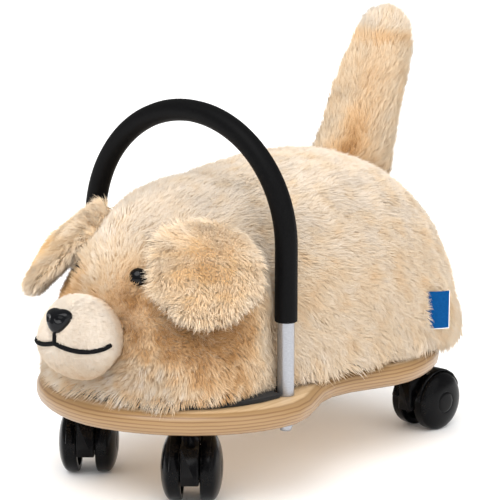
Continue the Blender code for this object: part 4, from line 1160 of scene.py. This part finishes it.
def tail_pile():
    root, normal = sampled_roots("tail", DENSITY)
    z = root[:, 2]
    comb = np.tile(np.array([[0.0, 0.35, 0.9]]), (len(root), 1))
    toward = hump(normal[:, 0], 0.55, 0.35) * np.clip(0.3 - normal[:, 1], 0, 1)
    patch = hump(z, 0.232, 0.026)
    tone = 0.31 + 0.05 * smooth_noise(root, 0.04, 13) + toward * (0.12 + 0.55 * patch)
    tone += 0.25 * hump(z, 0.325, 0.006) - 0.22 * above(z, 0.329, 0.004)
    parts = locks(root, normal, comb, TAIL_LENGTH, LOCK_WIDTH, tone, TAIL_TUFT, 0.22,
                  1.0 - 0.3 * toward * patch, 0.25)
    return thinned(parts, clear_of_hardware(*parts[:3]))


def ear_pile(part, side):
    root, normal = sampled_roots(part, EAR_DENSITY)
    middle, facing, hang, across = ear_frame(side)
    down = (root - middle) @ hang / EAR_HALF_LENGTH
    over = (root - middle) @ across / EAR_HALF_WIDTH
    rim = above(np.hypot(down, over), 0.55, 0.35)
    comb = hang + (1.6 * rim * over)[:, None] * across
    outer = normal @ facing
    centre = hump(down, 0.15, 0.52) * hump(over, 0.0, 0.55) * (outer > 0.2)
    tone = 0.08 + 0.06 * smooth_noise(root, 0.02, 17)
    tone += centre * (0.48 + 0.22 * smooth_noise(root, 0.012, 18))
    tone += 0.5 * np.clip(-0.5 - down, 0, 0.5) * (outer < 0.2)
    length = 0.0100 + 0.0025 * rim
    if side < 0:
        length *= 1 - 0.25 * np.clip(down, 0, 1)
    else:
        length *= 1 + 0.70 * np.clip(over, 0, 1) * rim - 0.35 * below(down, -0.3, 0.6)
    bend = 0.90 - 0.20 * centre - 0.30 * rim + 0.5 * np.clip(-0.4 - down, 0, 0.5)
    parts = locks(root, normal, comb, length, EAR_LOCK_WIDTH, tone, EAR_TUFT, 0.18, bend, 0.5)
    lit = unit_rows(normal * 0.4 + facing * np.clip(0.9 + outer, 0, 1)[:, None] + 1.6 * EAR_GLOW)
    return thinned((*parts[:5], lit), clear_of_hardware(*parts[:3]))


panels("tail_pile", tail_pile(), cream_pile, "cream_plush")
for part, side in (("ear_left", 1), ("ear_right", -1)):
    panels(part + "_pile", ear_pile(part, side), ear_look, "cream_plush")

# %% [markdown]
# ### The muzzle
# The muzzle is sewn from a short-piled plush with a pinkish tone. Its hairs fan out from the nose
# and lie almost flat, so the muzzle looks smooth beside the shaggy head.

# %% Muzzle pile
MUZZLE_DENSITY = 2.4e6
MUZZLE_LENGTH = 0.0046
MUZZLE_LOCK_WIDTH = 0.00034
MUZZLE_TUFT = 0.0030


def muzzle_pile():
    root, normal = sampled_roots("muzzle", MUZZLE_DENSITY)
    tone = 0.10 + 0.05 * smooth_noise(root, 0.02, 23) + 0.40 * above(root[:, 1], -0.184, 0.008)
    # Painted shade: below the mouth the muzzle's tone is painted tan, for the shade beneath the
    # mouth.
    tone += 0.60 * below(root[:, 2], 0.126, 0.02)
    parts = locks(root, normal, root - NOSE_MIDDLE, MUZZLE_LENGTH, MUZZLE_LOCK_WIDTH, tone,
                  MUZZLE_TUFT, 0.15, 1.30, 0.1)
    clear = clear_of_hardware(*parts[:3])
    cord = tree_of(nodes["mouth_cord"], nodes["philtrum_cord"])
    for index in np.flatnonzero(clear & (parts[0][:, 1] < -0.185)):
        if cord.find_nearest(Vector(parts[2][index]), 0.0006)[0] is not None:
            clear[index] = False
    return thinned(parts, clear)


panels("muzzle_pile", muzzle_pile(), short_pile, "short_pile")
print("locks in all:", made_locks)

# %% [markdown]
# ## Nose, eyes and mouth
# The nose is a moulded black plastic safety nose, a rounded triangle with two nostrils. The eyes
# are half balls of the same gloss plastic. The mouth and the seam above it are black wool, sewn
# through the muzzle.

# %% Nose, eyes and mouth
MUZZLE_REACH = 0.070
NOSE_HEIGHT = 0.1463
NOSE_HALF = Vector((0.0134, 0.0094, 0.0064))
NOSE_TAPER = 0.52
NOSE_SQUARE = 0.25
NOSE_CROWN_DIP = 0.10
NOSTRIL_PLACE = (0.52, -0.02)
NOSTRIL_SIZE = 0.24
NOSTRIL_LIP = 0.04
NOSTRIL_DEPTH_SHARE = 0.20
EYE_RADIUS = 0.0066
EYE_PROUD = 0.0046
MOUTH_HEIGHT = 0.1305
MOUTH_TURN = math.radians(85)
MOUTH_SAG = 0.0042
MOUTH_LOWEST_SHARE = 0.7
MOUTH_LIFT = 0.0026
MOUTH_STEPS = 40
MOUTH_RADIUS = 0.0017
SEAM_RADIUS = 0.00145
SEAM_STEPS = 6
SEAM_TUCK = 0.001
CORD_LIFT = 0.0015


def rounded_ball(name, segments, rings):
    """A ball of radius one at the origin, to be shaped point by point."""
    return new_primitive(name, bpy.ops.mesh.primitive_uv_sphere_add, segments=segments,
                         ring_count=rings, radius=1.0)


def finish_face_piece(item, look, slot, node):
    select_only(item)
    bpy.ops.object.shade_smooth()
    finished(item, look, slot, "toy", node)


place, normal = seat(tree_of(nodes["muzzle"]), (0, IN_FRONT, NOSE_HEIGHT), (0, 1, 0))
across = Vector((0, 0, 1)).cross(normal).normalized()
nose_turn = Matrix((across, normal.cross(across), normal)).transposed().to_4x4()
nose = rounded_ball("moulded_nose", 64, 32)
for vert in nose.data.vertices:
    x, y, z = vert.co
    taper = 1.0 - NOSE_TAPER * (0.5 - y / 2)
    square = 1.0 + NOSE_SQUARE * max(0.0, y) * abs(x)
    crown = 1.0 - NOSE_CROWN_DIP * max(0.0, y) * math.exp(-(x / 0.25) ** 2)
    near = ((abs(x) - NOSTRIL_PLACE[0]) ** 2 + (y - NOSTRIL_PLACE[1]) ** 2) / NOSTRIL_SIZE ** 2
    dent = NOSTRIL_DEPTH_SHARE * math.exp(-near) if z > 0 else 0.0
    lip = NOSTRIL_LIP * math.exp(-((math.sqrt(near) - 1.5) / 0.4) ** 2) if z > 0 else 0.0
    vert.co = (NOSE_HALF.x * x * taper * square, NOSE_HALF.y * y * crown,
               NOSE_HALF.z * (z - dent + lip))
nose.data.transform(Matrix.Translation(place) @ nose_turn)
finish_face_piece(nose, gloss_plastic, "gloss_black", "nose")

for side, (middle, facing_way) in zip(("left", "right"), EYE_SEATS):
    eye = rounded_ball("gloss_eye_" + side, 32, 16)
    eye.data.transform(Matrix.Diagonal((EYE_RADIUS, EYE_RADIUS, EYE_PROUD, 1.0)))
    eye.data.transform(Matrix.Translation(middle)
                       @ Vector(facing_way).to_track_quat("Z", "Y").to_matrix().to_4x4())
    finish_face_piece(eye, gloss_plastic, "gloss_black", "eye_" + side)

muzzle_skin = tree_of(skins["muzzle"])
mouth_line = []
for step in range(MOUTH_STEPS + 1):
    share = 2 * step / MOUTH_STEPS - 1
    dip = math.sin(math.pi / 2 * abs(share) / MOUTH_LOWEST_SHARE)
    height = MOUTH_HEIGHT - MOUTH_SAG * dip + MOUTH_LIFT * share ** 4
    way = Vector((math.sin(MOUTH_TURN * share), -math.cos(MOUTH_TURN * share), 0))
    start = Vector((0, MUZZLE_MIDDLE[1], height)) + way * MUZZLE_REACH
    place, normal = seat(muzzle_skin, start, -way)
    mouth_line.append(place + normal * CORD_LIFT)
mouth = swept("stitched_mouth", mouth_line, MOUTH_RADIUS, resolution=3)
finish_face_piece(mouth, stitched_wool, "black_cloth", "mouth_cord")
seam_line = []
seam_top = NOSE_HEIGHT - NOSE_HALF.y + SEAM_TUCK
for step in range(SEAM_STEPS + 1):
    height = seam_top + (MOUTH_HEIGHT - seam_top) * step / SEAM_STEPS
    place, normal = seat(muzzle_skin, (0, IN_FRONT, height), (0, 1, 0))
    seam_line.append(place + normal * CORD_LIFT)
seam = swept("stitched_philtrum", seam_line, SEAM_RADIUS, resolution=3)
finish_face_piece(seam, stitched_wool, "black_cloth", "philtrum_cord")
print("mouth points:", len(mouth_line))

# %% [markdown]
# ## The sewn tab
# A folded strip of blue tape is caught in the side seam, so it stands off the flank from there. It
# is plain here, with a narrow pale edge along its free side and its foot. Its map runs from the
# seam to the free side and from foot to top, and the edge is drawn by the place on that map.

# %% The sewn tab
TAB_THICKNESS = 0.0009
TAB_EDGE = 0.0006
TAB_CURVE = 0.0012
TAB_STEPS = 12
TAB_EDGE_COLOUR = (0.80, 0.82, 0.86, 1.0)
TAB_MAP = "tab_cloth"

tape, tree, shader = new_material("blue_tape_weave", Roughness=0.7, Specular_IOR_Level=0.05)
place = axes_of(tree, add_node(tree, "ShaderNodeUVMap", uv_map=TAB_MAP).outputs["UV"])
free_side = maths(tree, "GREATER_THAN", place["X"], 1 - TAB_EDGE / TAB_LENGTH)
foot = maths(tree, "LESS_THAN", place["Y"], TAB_EDGE / (TAB_LEVELS[1] - TAB_LEVELS[0]))
weave = noise_on(tree, (600.0, 600.0, 2400.0), 3.0)
blue = ramp(tree, weave, [(0.3, (0.001, 0.048, 0.17)), (0.7, (0.003, 0.075, 0.24))])
edge = maths(tree, "MAXIMUM", free_side, foot)
fill(shader, Base_Color=blended(tree, edge, blue, TAB_EDGE_COLOUR))
add_bump(tree, shader, weave, 0.0001)

tab_shape = bmesh.new()
tab_layer = tab_shape.loops.layers.uv.new(TAB_MAP)
tab_rows = []
for step in range(TAB_STEPS + 1):
    share = step / TAB_STEPS
    aside = TAB_CURVE * math.sin(math.pi * share)
    plan = TAB_ROOT + TAB_WAY * TAB_LENGTH * share + TAB_ASIDE * aside
    tab_rows.append([tab_shape.verts.new((*plan, level)) for level in TAB_LEVELS])
for step, (this, after) in enumerate(zip(tab_rows, tab_rows[1:])):
    face = tab_shape.faces.new((this[0], after[0], after[1], this[1]))
    here, there = step / TAB_STEPS, (step + 1) / TAB_STEPS
    corners = ((here, 0.0), (there, 0.0), (there, 1.0), (here, 1.0))
    for loop, corner in zip(face.loops, corners):
        loop[tab_layer].uv = corner
tab_mesh = bpy.data.meshes.new("folded_tape_tab")
tab_shape.to_mesh(tab_mesh)
tab_shape.free()
tab = placed("folded_tape_tab", tab_mesh)
apply_modifier(tab, "SOLIDIFY", thickness=TAB_THICKNESS, offset=0.0)
bpy.ops.object.shade_smooth_by_angle(angle=SMOOTH_ANGLE)
finished(tab, tape, "blue_tape", "toy", "label_tab")
print("tab corners:", len(tab.data.vertices))

# %% Hand over
new_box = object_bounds()
for axis, (low, high, old_low, old_high) in enumerate(zip(*new_box, *cad_box)):
    print("xyz"[axis], "grows by", round((old_low - low) * 1000, 1), "and",
          round((high - old_high) * 1000, 1), "mm")
